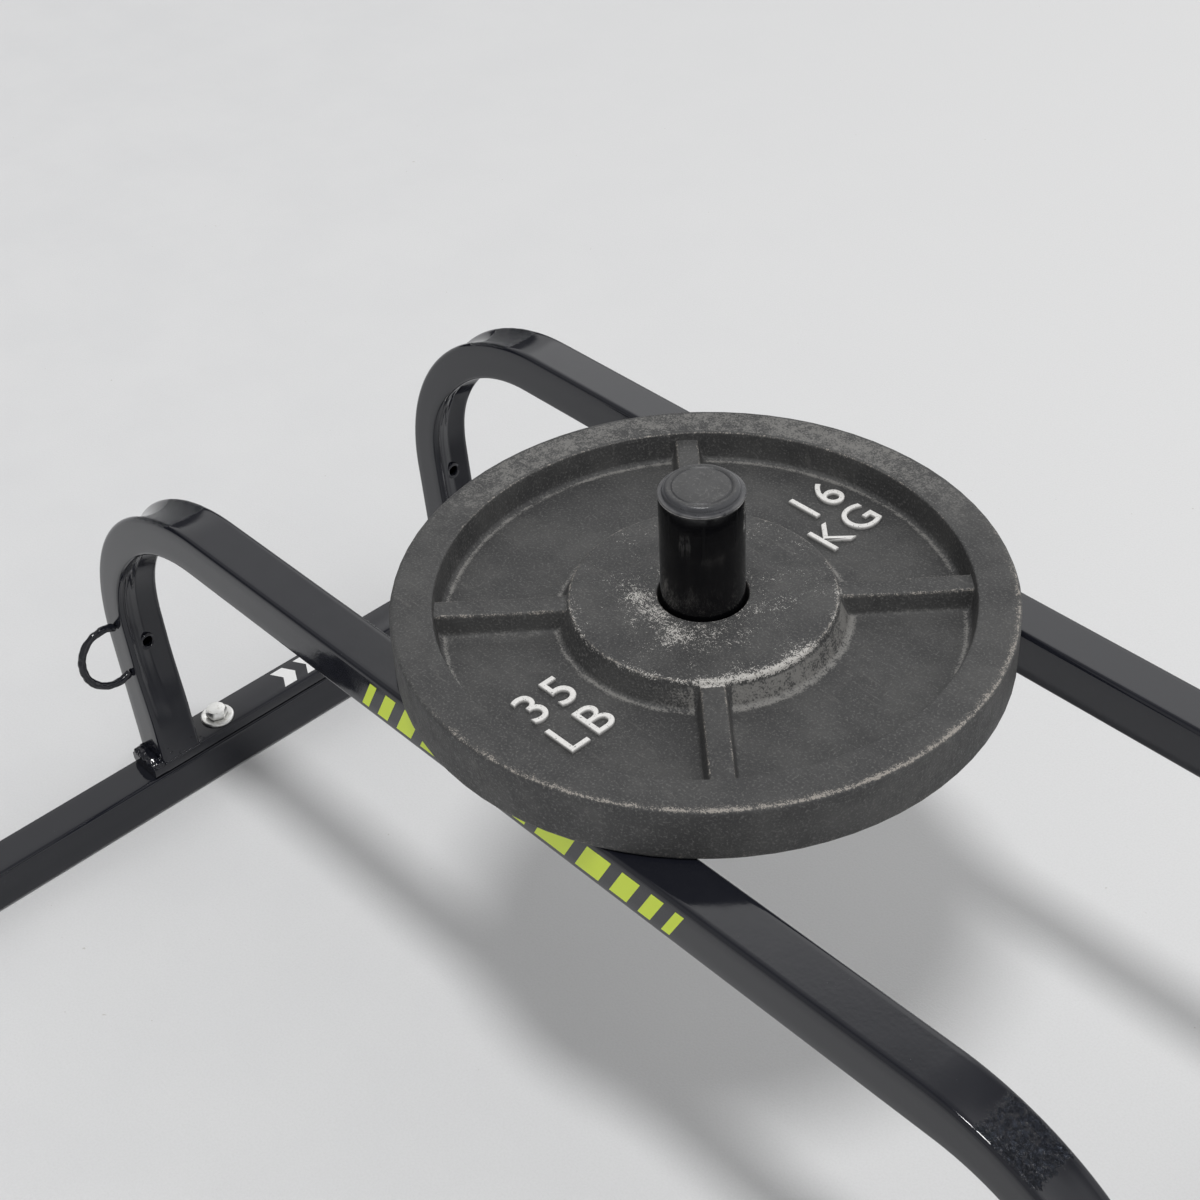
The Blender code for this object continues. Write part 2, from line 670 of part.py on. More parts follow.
for leftover in list(bpy.data.objects):
    bpy.data.objects.remove(leftover)
PARTS = new_collection(SLED_NAME)
CUTTERS = new_collection(SLED_NAME + "_cutters")
build_sled()
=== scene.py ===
"""Weight sled dressed for its picture: pressed tube hoops, cast iron plate, horn, skis and hardware."""
import math

import bmesh
import bpy
from mathutils import Matrix, Vector, noise


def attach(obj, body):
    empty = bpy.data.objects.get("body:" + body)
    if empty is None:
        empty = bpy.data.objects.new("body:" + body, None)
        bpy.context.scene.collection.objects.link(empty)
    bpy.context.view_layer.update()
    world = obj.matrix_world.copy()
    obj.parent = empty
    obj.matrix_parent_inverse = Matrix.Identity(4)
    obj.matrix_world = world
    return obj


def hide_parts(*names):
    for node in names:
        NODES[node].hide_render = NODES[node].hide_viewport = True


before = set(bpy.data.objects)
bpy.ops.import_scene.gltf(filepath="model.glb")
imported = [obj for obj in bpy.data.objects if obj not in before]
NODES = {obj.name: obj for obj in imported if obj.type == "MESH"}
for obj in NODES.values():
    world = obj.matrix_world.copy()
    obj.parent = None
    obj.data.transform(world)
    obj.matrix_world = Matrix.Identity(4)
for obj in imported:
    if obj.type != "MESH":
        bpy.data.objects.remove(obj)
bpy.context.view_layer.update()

SIDES = {"right": -1, "left": 1}

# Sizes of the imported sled, in metres
RAIL_TOP = 0.308
HOOP_Y = 0.142
FOOT_X = 0.419
LEG_LEAN = math.radians(4.0)
TUBE_SIZE = 0.03175
HALF_TUBE = TUBE_SIZE / 2
TUBE_WALL = 0.0020
TUBE_CORNER = 0.0032
SEAT_GAP = 0.0003
BAR_THICKNESS = 0.0095
BAR_TOP = TUBE_SIZE + SEAT_GAP + BAR_THICKNESS
BAR_HALF_LENGTH = HOOP_Y + HALF_TUBE + 0.0085
FOOT_Z = BAR_TOP + SEAT_GAP
RAIL_CENTRE = RAIL_TOP - HALF_TUBE
TURN = math.pi / 2 + LEG_LEAN
BEND_OUTER = 0.152
BEND_INNER = 0.109
BEND_RADIUS = (BEND_OUTER + BEND_INNER) / 2
BEND_LENGTH = BEND_RADIUS * TURN
CORNER_X = FOOT_X + (RAIL_CENTRE - FOOT_Z) * math.tan(LEG_LEAN)
RAIL_NORMAL = Vector((0.0, 1.0))
LEG_NORMAL = Vector((math.sin(TURN), math.cos(TURN)))
LEG_DOWN = Vector((math.cos(TURN), -math.sin(TURN)))
CREASE_RUN = 0.085
LEG_HOLE_RADIUS = 0.0040
LEG_HOLE_Z = 0.1430
SKI_RADIUS = 0.090
SKI_SWEEP = math.radians(26.0)
SKI_TAIL = 0.034
SKI_STRAIGHT = 0.640
BOLT_Y = 0.100
WASHER_THICKNESS = 0.0020
TOW_ROD_RADIUS = 0.0030
TOW_RING_RADIUS = 0.0219
TOW_RING_REACH = 0.0105
TOW_RING_Z = 0.1398
TOW_RING_TILT = math.radians(10.0)
HORN_RADIUS = 0.02415
HORN_TOP = RAIL_TOP + 0.1014
HORN_BORE = HORN_RADIUS - 0.003
PLATE_SEAT = RAIL_TOP + SEAT_GAP
PLATE_RADIUS = 0.178
PLATE_BORE = 0.0262
RIM_INNER = 0.1538
RIM_TOP = 0.0346
WEB_TOP = 0.0161
HUB_RADIUS = 0.0772
HUB_TOP = 0.0317
RIB_RISE = 0.0132
RIB_TURN = math.radians(3.4)

# Finer forms of the dressed sled
PRESS_DEPTH = 0.0038
CREASE_DEPTH = 0.0036
DIP_DEPTH = 0.0036
HOOP_STEPS = (8, 4, 26, 5)
SKI_STEPS = (3, 3, 6, 6)
WIDEST_X = 0.44243
BEAD_RADIUS = 0.0020
FINE_BEAD_RADIUS = 0.0009
FILM_LIFT = 0.00002
FILM_THICKNESS = 0.00010


# Camera, floor and light

def stand(name, data):
    """New object in the scene that carries the data."""
    made = bpy.data.objects.new(name, data)
    bpy.context.scene.collection.objects.link(made)
    return made


def placed_axes(across, up, toward, at):
    """Placing matrix from three axes and a place."""
    return Matrix.Translation(at) @ Matrix((across, up, toward)).transposed().to_4x4()


def stand_camera():
    """Camera of the photograph: three quarter view from the front left, looking down."""
    right = Vector((0.68406, 0.72811, -0.04376)).normalized()
    view = Vector((-0.58232, 0.50899, -0.63390)).normalized()
    up = right.cross(view).normalized()
    data = bpy.data.cameras.new("camera")
    data.lens, data.sensor_width, data.clip_start = 61.45, 36.0, 0.05
    camera = stand("camera", data)
    camera.matrix_world = placed_axes(view.cross(up), up, -view, (0.63786, -0.63530, 1.07458))
    bpy.context.scene.camera = camera


def lay_floor():
    half = 9.0
    mesh = bpy.data.meshes.new("studio_floor")
    corners = [(-half, -half, 0), (half, -half, 0), (half, half, 0), (-half, half, 0)]
    mesh.from_pydata(corners, [], [(0, 1, 2, 3)])
    floor = stand("studio_floor", mesh)
    sheet = Sheet("pale_studio_floor", Roughness=0.92)
    place = sheet.place()
    cloud = sheet.noise(place, 9.0, 4.0, 0.6)
    fibre = sheet.noise(place, 640.0, 3.0, 0.6)
    across, along, _ = sheet.node("ShaderNodeSeparateXYZ", Vector=place).node.outputs
    specks = sheet.noise(place, 150.0, 2.0, 0.5)
    # Painted light: the floor's colour is made lighter towards the far right (+x and +y), a painted fall of
    # light; the cloud, fibre and specks are the floor's own mottling and grain.
    sheet.colour((0.674, 0.678, 0.687),
                 (sheet.ramp(sheet.plus(across, along), -1.3, 2.1), (0.778, 0.779, 0.780)),
                 (sheet.times(sheet.ramp(cloud, 0.3, 0.7), 0.35), (0.735, 0.737, 0.740)),
                 (sheet.ramp(fibre, 0.35, 0.72, 0.0, 0.13), (0.50, 0.495, 0.485)),
                 (sheet.ramp(specks, 0.765, 0.80, 0.0, 0.5), (0.40, 0.38, 0.34)))
    sheet.bump(fibre, 0.22, 0.0006)
    mesh.materials.append(sheet.material)


def hang_lamp():
    data = bpy.data.lights.new("overhead_softbox", "AREA")
    data.shape, data.size, data.size_y, data.energy = "ELLIPSE", 3.5, 1.75, 725.0
    toward = Vector((0.122, -0.186, 1.0)).normalized()
    along = (Vector((1.0, 0.0, 0.0)) - toward * toward.x).normalized()
    lamp = stand("overhead_softbox", data)
    lamp.matrix_world = placed_axes(along, toward.cross(along), toward, toward * 12.3)


def light_room():
    """Room that the paint mirrors: walls, a window side, a tall panel, a doorway and a dark back."""
    world = bpy.data.worlds.new("studio_room")
    bpy.context.scene.world = world
    world.use_nodes = True
    room = Network(world.node_tree)
    background = room.nodes["Background"].inputs
    background["Color"].default_value = (1.0, 1.0, 1.0, 1.0)
    way = room.node("ShaderNodeTexCoord", "Generated")
    x, y, height = room.node("ShaderNodeSeparateXYZ", Vector=way).node.outputs
    azimuth = room.math("ARCTAN2", y, x)

    def band(value, rise, fall, peak=1.0):
        return room.times(room.ramp(value, *rise, 0.0, peak), room.ramp(value, *fall, 1.0, 0.0))

    walls = room.plus(room.times(band(azimuth, (1.15, 1.60), (2.95, 3.14)), 0.40), 0.47)
    window_side = band(azimuth, (-0.55, -0.15), (1.15, 1.50), 0.47)
    level = room.times(room.plus(walls, window_side), room.ramp(height, 0.70, 0.93, 1.0, 0.45))
    across = band(azimuth, (1.85, 2.02), (2.44, 2.60))
    panel = room.times(room.times(across, band(height, (0.40, 0.50), (0.74, 0.80))), 0.70)
    doorway = room.times(room.ramp(azimuth, 2.20, 2.45), room.ramp(height, 0.28, 0.36, 1.0, 0.0))
    back = room.times(room.ramp(azimuth, -2.45, -2.15, 1.0, 0.0), room.ramp(height, 0.42, 0.54, 1.0, 0.0))
    lit = room.math("SUBTRACT", 1.0, room.times(room.math("MAXIMUM", doorway, back), 0.90))
    seen = room.node("ShaderNodeLightPath", "Is Camera Ray")
    mirrored = room.times(room.plus(level, panel), lit)
    shown = room.node("ShaderNodeMix", "Result", Factor=seen, A=mirrored, B=0.80)
    room.feed(background["Strength"], shown)


# Node building

class Network:
    """The nodes of one tree and the ways to add to them."""

    def __init__(self, tree):
        self.tree, self.nodes, self.links = tree, tree.nodes, tree.links

    def feed(self, socket, value):
        if isinstance(value, bpy.types.NodeSocket):
            self.links.new(value, socket)
        elif isinstance(value, tuple) and len(value) == 3 and socket.type == "RGBA":
            socket.default_value = (*value, 1.0)
        else:
            socket.default_value = value

    def node(self, kind, out=0, settings=None, **inputs):
        made = self.nodes.new(kind)
        for name, value in (settings or {}).items():
            setattr(made, name, value)
        for name, value in inputs.items():
            self.feed(made.inputs[name.replace("_", " ")], value)
        return made.outputs[out]

    def place(self, scale=None, turn=None):
        coordinates = self.node("ShaderNodeTexCoord", "Object")
        if scale is None:
            return coordinates
        return self.node("ShaderNodeMapping", Vector=coordinates, Scale=scale, Rotation=turn)

    def noise(self, place, scale, detail=3.0, roughness=0.5, distortion=0.0):
        return self.node("ShaderNodeTexNoise", "Fac", Vector=place, Scale=scale, Detail=detail,
                         Roughness=roughness, Distortion=distortion)

    def cells(self, place, scale, out):
        return self.node("ShaderNodeTexVoronoi", out, Vector=place, Scale=scale)

    def ramp(self, value, low, high, start=0.0, end=1.0):
        return self.node("ShaderNodeMapRange", "Result", {"interpolation_type": "SMOOTHSTEP"}, Value=value,
                         From_Min=low, From_Max=high, To_Min=start, To_Max=end)

    def math(self, operation, first, second):
        made = self.nodes.new("ShaderNodeMath")
        made.operation = operation
        self.feed(made.inputs[0], first)
        self.feed(made.inputs[1], second)
        return made.outputs[0]

    def times(self, first, second):
        return self.math("MULTIPLY", first, second)

    def plus(self, first, second):
        return self.math("ADD", first, second)


class Group(Network):
    """A node group with named inputs, each a default number or a kind of socket, and outputs."""

    def __init__(self, name, family, inputs, outputs):
        super().__init__(bpy.data.node_groups.new(name, family + "NodeTree"))
        face = self.tree.interface
        self.labels = {}
        for label, value in inputs.items():
            kind = value if isinstance(value, str) else "Float"
            made = face.new_socket(label, in_out="INPUT", socket_type="NodeSocket" + kind)
            if not isinstance(value, str):
                made.default_value = value
            self.labels[label] = made.identifier
        for label in outputs:
            kind = "Geometry" if family == "Geometry" else "Float"
            face.new_socket(label, in_out="OUTPUT", socket_type="NodeSocket" + kind)
        self.given = self.nodes.new("NodeGroupInput").outputs

    def give(self, **results):
        sockets = self.nodes.new("NodeGroupOutput").inputs
        for label, value in results.items():
            self.feed(sockets[label], value)
        return self.tree

    def random(self, low, high, seed):
        """Random number or vector between two bounds."""
        made = self.nodes.new("FunctionNodeRandomValue")
        first, out = 2, 1
        if isinstance(low, tuple):
            made.data_type = "FLOAT_VECTOR"
            first, out = 0, 0
        self.feed(made.inputs[first], low)
        self.feed(made.inputs[first + 1], high)
        made.inputs["Seed"].default_value = seed
        return made.outputs[out]

    def give_copies(self, points, pattern, **settings):
        """Put out a copy of the pattern on each point, as real faces."""
        copies = self.node("GeometryNodeInstanceOnPoints", Points=points, Instance=pattern, **settings)
        real = self.node("GeometryNodeRealizeInstances", Geometry=copies)
        finish = {"Material": self.given["Material"]} if "Material" in self.labels else {}
        self.give(Geometry=self.node("GeometryNodeSetMaterial", Geometry=real, **finish))

    def grown_on(self, mesh, name, **values):
        """Run the group once on a mesh and bake what it puts out."""
        carrier = stand(name, mesh)
        modifier = carrier.modifiers.new(name, "NODES")
        modifier.node_group = self.tree
        for label, value in values.items():
            modifier[self.labels[label.replace("_", " ")]] = value
        return baked(carrier)


class Sheet(Network):
    """One material: its shader and the nodes that feed it."""

    def __init__(self, name, **values):
        self.material = bpy.data.materials.new(name)
        self.material.use_nodes = True
        super().__init__(self.material.node_tree)
        self.shader = self.nodes["Principled BSDF"].inputs
        for socket, value in values.items():
            self.set(socket.replace("_", " "), value)

    def set(self, socket, value):
        self.feed(self.shader[socket], value)

    def mix(self, share, first, second):
        made = self.nodes.new("ShaderNodeMix")
        made.data_type = "RGBA"
        for socket, value in (("Factor", share), (6, first), (7, second)):
            self.feed(made.inputs[socket], value)
        return made.outputs[2]

    def colour(self, tone, *layers):
        """Base colour with each further colour laid over it by its share."""
        for share, over in layers:
            tone = self.mix(share, tone, over)
        self.set("Base Color", tone)

    def painted(self, name):
        return self.node("ShaderNodeAttribute", "Fac", {"attribute_name": name})

    def bump(self, height, strength, distance, **onto):
        made = self.node("ShaderNodeBump", Height=height, Strength=strength, Distance=distance, **onto)
        self.set("Normal", made)
        return made

    def effect(self, group, **inputs):
        return self.node("ShaderNodeGroup", 0, {"node_tree": group}, **inputs).node.outputs


# Surface effects and materials

def sprayed_skin_effect():
    """Powder coat: slow orange peel, fine peel and a few dust nibs."""
    effect = Group("sprayed_skin", "Shader", {"Peel Size": 420.0, "Nib Share": 0.02},
                   ("Height", "Gloss", "Nibs"))
    place, share = effect.place(), effect.given["Nib Share"]
    peel = effect.noise(place, effect.given["Peel Size"], 2.0, 0.45)
    slow = effect.noise(place, 55.0, 2.0, 0.5)
    nibs = effect.node("ShaderNodeMapRange", "Result", Value=effect.cells(place, 190.0, "Distance"),
                       From_Min=share, From_Max=effect.plus(share, 0.05), To_Min=1.0, To_Max=0.0)
    nibs = effect.times(nibs, effect.ramp(effect.noise(place, 60.0, 1.0), 0.60, 0.66))
    height = effect.plus(effect.times(peel, 0.6), effect.times(slow, 0.9))
    return effect.give(Height=effect.plus(height, nibs), Gloss=slow, Nibs=nibs)


def worn_edge_effect():
    """Where an edge has rubbed bare: patchy along its run and ragged at its border."""
    effect = Group("worn_edge", "Shader", {"Edge": 0.0, "Reach": 0.6, "Grit": 900.0, "Break": 1.0},
                   ("Wear", "Dust"))
    place, given = effect.place(), effect.given
    drive = effect.times(given["Edge"], given["Reach"])
    broad, small = (effect.times(given["Break"], size) for size in (30.0, 170.0))
    for size, detail, roughness, share in ((broad, 3.0, 0.6, 0.6), (small, 5.0, 0.75, 1.2),
                                           (given["Grit"], 2.0, 0.6, 1.2)):
        swing = effect.math("SUBTRACT", effect.noise(place, size, detail, roughness), 0.5)
        drive = effect.plus(drive, effect.times(swing, share))
    return effect.give(Wear=effect.ramp(drive, 0.44, 0.56), Dust=effect.ramp(drive, 0.22, 0.55))


def fine_scratch_effect():
    """Hairline scratches in two directions across a face."""
    effect = Group("fine_scratches", "Shader", {"Size": 40.0, "Share": 0.6}, ("Scratch",))
    share = effect.given["Share"]
    marks = []
    for angle, stretch in ((0.5, 14.0), (1.9, 11.0)):
        place = effect.place((1.0, stretch, 1.0), (0.0, 0.0, angle))
        lines = effect.noise(place, effect.given["Size"], 3.0, 0.7, 0.3)
        marks.append(effect.ramp(lines, share, effect.plus(share, 0.05)))
    patchy = effect.ramp(effect.noise(effect.place(), 28.0, 2.0), 0.48, 0.62)
    return effect.give(Scratch=effect.times(effect.math("MAXIMUM", *marks), patchy))


def gloss_black_paint(skin):
    """Frame paint: deep black powder coat, wrinkled where a bend was pressed, with a painted dark mottled
    reflection and bluish highlights on the pressed patch.
    """
    sheet = Sheet("gloss_black_powder_coat")
    coat = sheet.effect(skin, Peel_Size=420.0, Nib_Share=0.02)
    place = sheet.place()
    crumple = sheet.noise(place, 430.0, 4.0, 0.7, 0.8)
    ragged = sheet.times(sheet.noise(place, 420.0, 3.0, 0.7), 0.7)
    wrinkle_and_reflection = sheet.ramp(sheet.plus(sheet.painted("press_and_reflection"), ragged), 0.78, 0.92)
    # Painted reflection: on the pressed patch the colour turns to a dark mottled tone with bluish highlights,
    # standing in for the room's reflection; the metallic share below darkens it further.
    painted_reflection = sheet.mix(sheet.ramp(crumple, 0.42, 0.70), (0.0045, 0.0056, 0.0092), (0.0340, 0.0395, 0.0530))
    sheet.colour((0.0072, 0.0079, 0.0122), (coat["Gloss"], (0.0105, 0.0113, 0.0162)),
                 (coat["Nibs"], (0.055, 0.055, 0.060)), (wrinkle_and_reflection, painted_reflection))
    sheet.set("Metallic", sheet.times(wrinkle_and_reflection, 0.75))
    gloss = sheet.ramp(coat["Gloss"], 0.3, 0.7, 0.08, 0.14)
    sheet.set("Roughness", sheet.plus(gloss, sheet.times(wrinkle_and_reflection, 0.12)))
    peel = sheet.bump(coat["Height"], 0.05, 0.0007)
    sheet.bump(sheet.times(wrinkle_and_reflection, crumple), 0.45, 0.0030, Normal=peel)
    return sheet.material


def horn_paint(skin, scratches):
    sheet = Sheet("horn_gloss_black")
    coat = sheet.effect(skin, Peel_Size=300.0, Nib_Share=0.015)
    rub = sheet.effect(scratches, Size=30.0, Share=0.69)["Scratch"]
    sheet.colour((0.0022, 0.0023, 0.0030), (rub, (0.0045, 0.0046, 0.0052)))
    sheet.set("Roughness", sheet.ramp(sheet.plus(rub, coat["Gloss"]), 0.3, 1.3, 0.11, 0.20))
    sheet.bump(coat["Height"], 0.08, 0.0006)
    return sheet.material


def satin_plastic(name, scratches, dark, pale, roughness):
    """Moulded plastic: fine spark grain, handling scuffs, a handled disc and a pale broken line along the
    seam as a painted highlight.
    """
    sheet = Sheet(name)
    place = sheet.place()
    cloud = sheet.noise(place, 90.0, 4.0, 0.6)
    scuff = sheet.effect(scratches, Size=60.0, Share=0.60)["Scratch"]
    disc = sheet.painted("disc")
    handled = sheet.ramp(sheet.noise(place, 420.0, 4.0, 0.75), 0.52, 0.68)
    face = sheet.mix(handled, (0.050, 0.050, 0.051), (0.105, 0.104, 0.102))
    # Painted highlight: a pale broken line along the cap's seam with the horn.
    seam_highlight = sheet.times(sheet.painted("seam_highlight"), sheet.ramp(cloud, 0.35, 0.6))
    sheet.colour(dark, (cloud, pale), (sheet.times(scuff, 0.6), tuple(3.0 * c for c in pale)), (disc, face),
                 (seam_highlight, (0.42, 0.41, 0.40)))
    rough = sheet.ramp(cloud, 0.3, 0.7, roughness - 0.06, roughness + 0.08)
    sheet.set("Roughness", sheet.plus(rough, sheet.times(disc, 0.14)))
    sheet.bump(sheet.noise(place, 1500.0, 2.0, 0.6), 0.35, 0.0003)
    return sheet.material


def zinc_plate():
    """Bright zinc: cloudy crystals and small stains."""
    sheet = Sheet("bright_zinc", Metallic=1.0)
    place = sheet.place()
    cloud = sheet.noise(place, 160.0, 4.0, 0.6)
    stain = sheet.ramp(sheet.noise(place, 260.0, 3.0, 0.7), 0.56, 0.66)
    sheet.colour((0.76, 0.76, 0.74), (cloud, (0.93, 0.93, 0.91)),
                 (sheet.times(sheet.cells(place, 520.0, "Color"), 0.3), (0.96, 0.96, 0.95)),
                 (sheet.times(stain, 0.4), (0.50, 0.48, 0.43)))
    sheet.set("Roughness", sheet.ramp(cloud, 0.3, 0.7, 0.28, 0.42))
    sheet.bump(cloud, 0.25, 0.0004)
    return sheet.material


def cast_iron(wear, scratches):
    """Painted cast iron: sand grain, rubbed edges, dusty corners, a painted sheen on the far part of the
    rim's top, painted light on the +x side of the hub's foot and bright speckles on the hub.
    """
    sheet = Sheet("worn_cast_iron")
    place = sheet.place()
    sand = sheet.noise(place, 700.0, 4.0, 0.62)
    lumps = sheet.noise(place, 130.0, 3.0, 0.55)
    cloud = sheet.noise(place, 30.0, 5.0, 0.65)
    edge, hub, dust_and_painted_light = (sheet.painted(name) for name in ("edge", "hub", "dust_and_painted_light"))
    rubbed = sheet.effect(wear, Edge=edge, Reach=0.60, Grit=1300.0, Break=2.2)
    bright = sheet.effect(wear, Edge=hub, Reach=0.70, Grit=1250.0, Break=2.6)
    settled_and_painted_light = sheet.effect(wear, Edge=dust_and_painted_light, Reach=0.50, Grit=900.0, Break=1.0)
    lines = sheet.effect(scratches, Size=34.0, Share=0.62)["Scratch"]
    near_edge = sheet.ramp(edge, 0.02, 0.35)
    speckle = sheet.times(bright["Wear"], sheet.ramp(hub, 0.02, 0.20))
    sheet.colour((0.0370, 0.0370, 0.0378),
                 (sheet.ramp(cloud, 0.35, 0.68), (0.0610, 0.0606, 0.0600)),
                 (sheet.ramp(sand, 0.50, 0.70), (0.112, 0.111, 0.108)),
                 # Pale dust in the corners and at the ribs' feet; the same pale colour is painted as light on
                 # the far part of the rim's top and on the +x side of the hub's foot.
                 (sheet.times(settled_and_painted_light["Dust"], dust_and_painted_light), (0.205, 0.200, 0.190)),
                 (sheet.times(lines, 0.22), (0.170, 0.165, 0.155)),
                 (sheet.times(rubbed["Dust"], sheet.times(near_edge, 0.55)), (0.135, 0.128, 0.118)),
                 (sheet.times(rubbed["Wear"], near_edge), (0.290, 0.268, 0.242)),
                 (speckle, (0.480, 0.465, 0.440)))
    matt = sheet.ramp(lumps, 0.3, 0.7, 0.56, 0.68)
    sheet.set("Roughness", sheet.math("SUBTRACT", matt, sheet.times(speckle, 0.15)))
    relief = sheet.bump(lumps, 0.25, 0.0010)
    relief = sheet.bump(sand, 0.75, 0.0006, Normal=relief)
    pits = sheet.ramp(sheet.cells(place, 330.0, "Distance"), 0.0, 0.25)
    sheet.bump(pits, 0.20, 0.0004, Normal=relief)
    return sheet.material


def mark_enamel():
    """White enamel on the raised cast marks, chipped on top and dark at the foot."""
    sheet = Sheet("white_mark_enamel", Roughness=0.55)
    place = sheet.place()
    chips = sheet.ramp(sheet.noise(place, 700.0, 3.0, 0.7), 0.60, 0.68)
    cloud = sheet.noise(place, 240.0, 3.0, 0.6)
    sheet.colour((0.66, 0.65, 0.63), (cloud, (0.86, 0.85, 0.83)), (chips, (0.12, 0.12, 0.115)),
                 (sheet.painted("skirt"), (0.050, 0.050, 0.050)))
    sheet.bump(cloud, 0.4, 0.0004)
    return sheet.material


def stripe_film(name, dark, pale):
    """Printed film: even colour with a slow fade and a fine satin skin."""
    sheet = Sheet(name, Specular_IOR_Level=0.4)
    place = sheet.place()
    fade = sheet.noise(place, 22.0, 2.0, 0.5)
    sheet.colour(dark, (fade, pale))
    sheet.set("Roughness", sheet.ramp(fade, 0.3, 0.7, 0.30, 0.42))
    sheet.bump(sheet.noise(place, 900.0, 2.0, 0.5), 0.10, 0.0002)
    return sheet.material


# Piece building

def finish_piece(mesh, name, material, replaced=(), sharp=35.0, body="frame"):
    """Put a made mesh in the scene as a piece that rides on a body."""
    mesh.name = name
    piece = stand(name, mesh)
    mesh.materials.clear()
    mesh.materials.append(material)
    mesh.shade_smooth()
    mesh.set_sharp_from_angle(angle=math.radians(sharp))
    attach(piece, body)
    if replaced:
        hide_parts(*replaced)


def skin_rings(graph, rings, closed_path=False):
    """Faces between neighbouring rings of points; a ring of one repeated point makes a tip."""
    pairs = list(zip(rings, rings[1:]))
    if closed_path:
        pairs.append((rings[-1], rings[0]))
    for here, there in pairs:
        for i in range(len(here)):
            j = (i + 1) % len(here)
            graph.faces.new(tuple(dict.fromkeys((here[i], here[j], there[j], there[i]))))


def cap_ends(graph, rings):
    graph.faces.new(rings[0])
    graph.faces.new(rings[-1][::-1])


def skin_tube(graph, skins):
    """Outer and inner skin of an open tube, joined at both ends."""
    for skin in skins:
        skin_rings(graph, skin)
    for end in (0, -1):
        skin_rings(graph, [skins[0][end], skins[1][end]])


def graph_to_mesh(graph, name):
    bmesh.ops.recalc_face_normals(graph, faces=graph.faces)
    mesh = bpy.data.meshes.new(name)
    graph.to_mesh(mesh)
    graph.free()
    return mesh


def baked(obj):
    """Plain mesh of an object's evaluated shape; the object itself goes."""
    bpy.context.view_layer.update()
    evaluated = obj.evaluated_get(bpy.context.evaluated_depsgraph_get())
    mesh = bpy.data.meshes.new_from_object(evaluated)
    mesh.transform(obj.matrix_world)
    bpy.data.objects.remove(obj)
    return mesh


def circle(steps):
    return [2 * math.pi * i / steps for i in range(steps)]


def polar(radius, angle, height):
    return Vector((radius * math.cos(angle), radius * math.sin(angle), height))


def lathe(outline, steps, paint=()):
    """Closed turned mesh round Z; paint names the attributes that the outline's further values fill."""
    graph = bmesh.new()
    layers = [graph.verts.layers.float.new(name) for name in paint]
    rings = []
    for radius, height, *values in outline:
        if radius < 1e-9:
            ring = [graph.verts.new((0.0, 0.0, height))] * steps
        else:
            ring = [graph.verts.new(polar(radius, angle, height)) for angle in circle(steps)]
        for layer, value in zip(layers, values):
            for vertex in ring:
                vertex[layer] = value
        rings.append(ring)
    skin_rings(graph, rings, outline[0][0] > 1e-9)
    return graph_to_mesh(graph, "turned")


def arc(centre, radius, start, end, steps):
    """Arc in (radius, height) with angles in degrees."""
    points = []
    for i in range(steps + 1):
        angle = math.radians(start + (end - start) * i / steps)
        points.append((centre[0] + radius * math.cos(angle), centre[1] + radius * math.sin(angle)))
    return points


def painted_rows(points, first=0.0, second=0.0):
    """Outline points with two painted values, each one number for all or a tuple of one per point."""
    rows = []
    for i, point in enumerate(points):
        rows.append((*point, *(v[i] if isinstance(v, tuple) else v for v in (first, second))))
    return rows


def at_height(height, *radii):
    return [(radius, height) for radius in radii]


def ease(low, high, value):
    share = min(max((value - low) / (high - low), 0.0), 1.0)
    return share * share * (3 - 2 * share)


def window(low, high, soft, value):
    return ease(low, low + soft, value) * (1.0 - ease(high - soft, high, value))


# Hoops

def wall_reach(point, normal, offset, radius):
    """Distance along a normal of the centre line to one wall: level, bent or leaning."""
    bend = Vector((CORNER_X + (offset - radius) * math.tan(TURN / 2), RAIL_CENTRE + offset - radius))
    gap = point - bend
    for straight, way_out in ((RAIL_NORMAL, Vector((-1.0, 0.0))), (LEG_NORMAL, LEG_DOWN)):
        slope = normal.dot(straight)
        if slope > math.cos(TURN / 2):
            reach = (radius - gap.dot(straight)) / slope
            if (gap + normal * reach).dot(way_out) >= 0.0:
                return reach
    along = gap.dot(normal)
    return math.sqrt(along * along - gap.dot(gap) + radius * radius) - along


def pressed_wall(across, travel, crease):
    """How far the inner wall is pushed in at a place across it, -1 to 1, and along the tube."""
    end = BEND_LENGTH + CREASE_RUN * 0.9
    run = window(BEND_LENGTH * 0.40, end, 0.045, travel)
    drift = 0.10 * ease(BEND_LENGTH * 0.5, end, travel)
    folds = 0.0
    for at, width, depth in ((-0.90, 0.060, 0.0011), (-0.70, 0.085, 0.0010), (-0.50, 0.075, 0.0005)):
        folds += depth * math.exp(-((across - at + drift) / width) ** 2)
    return crease * (1.0 - abs(across)) + folds * run


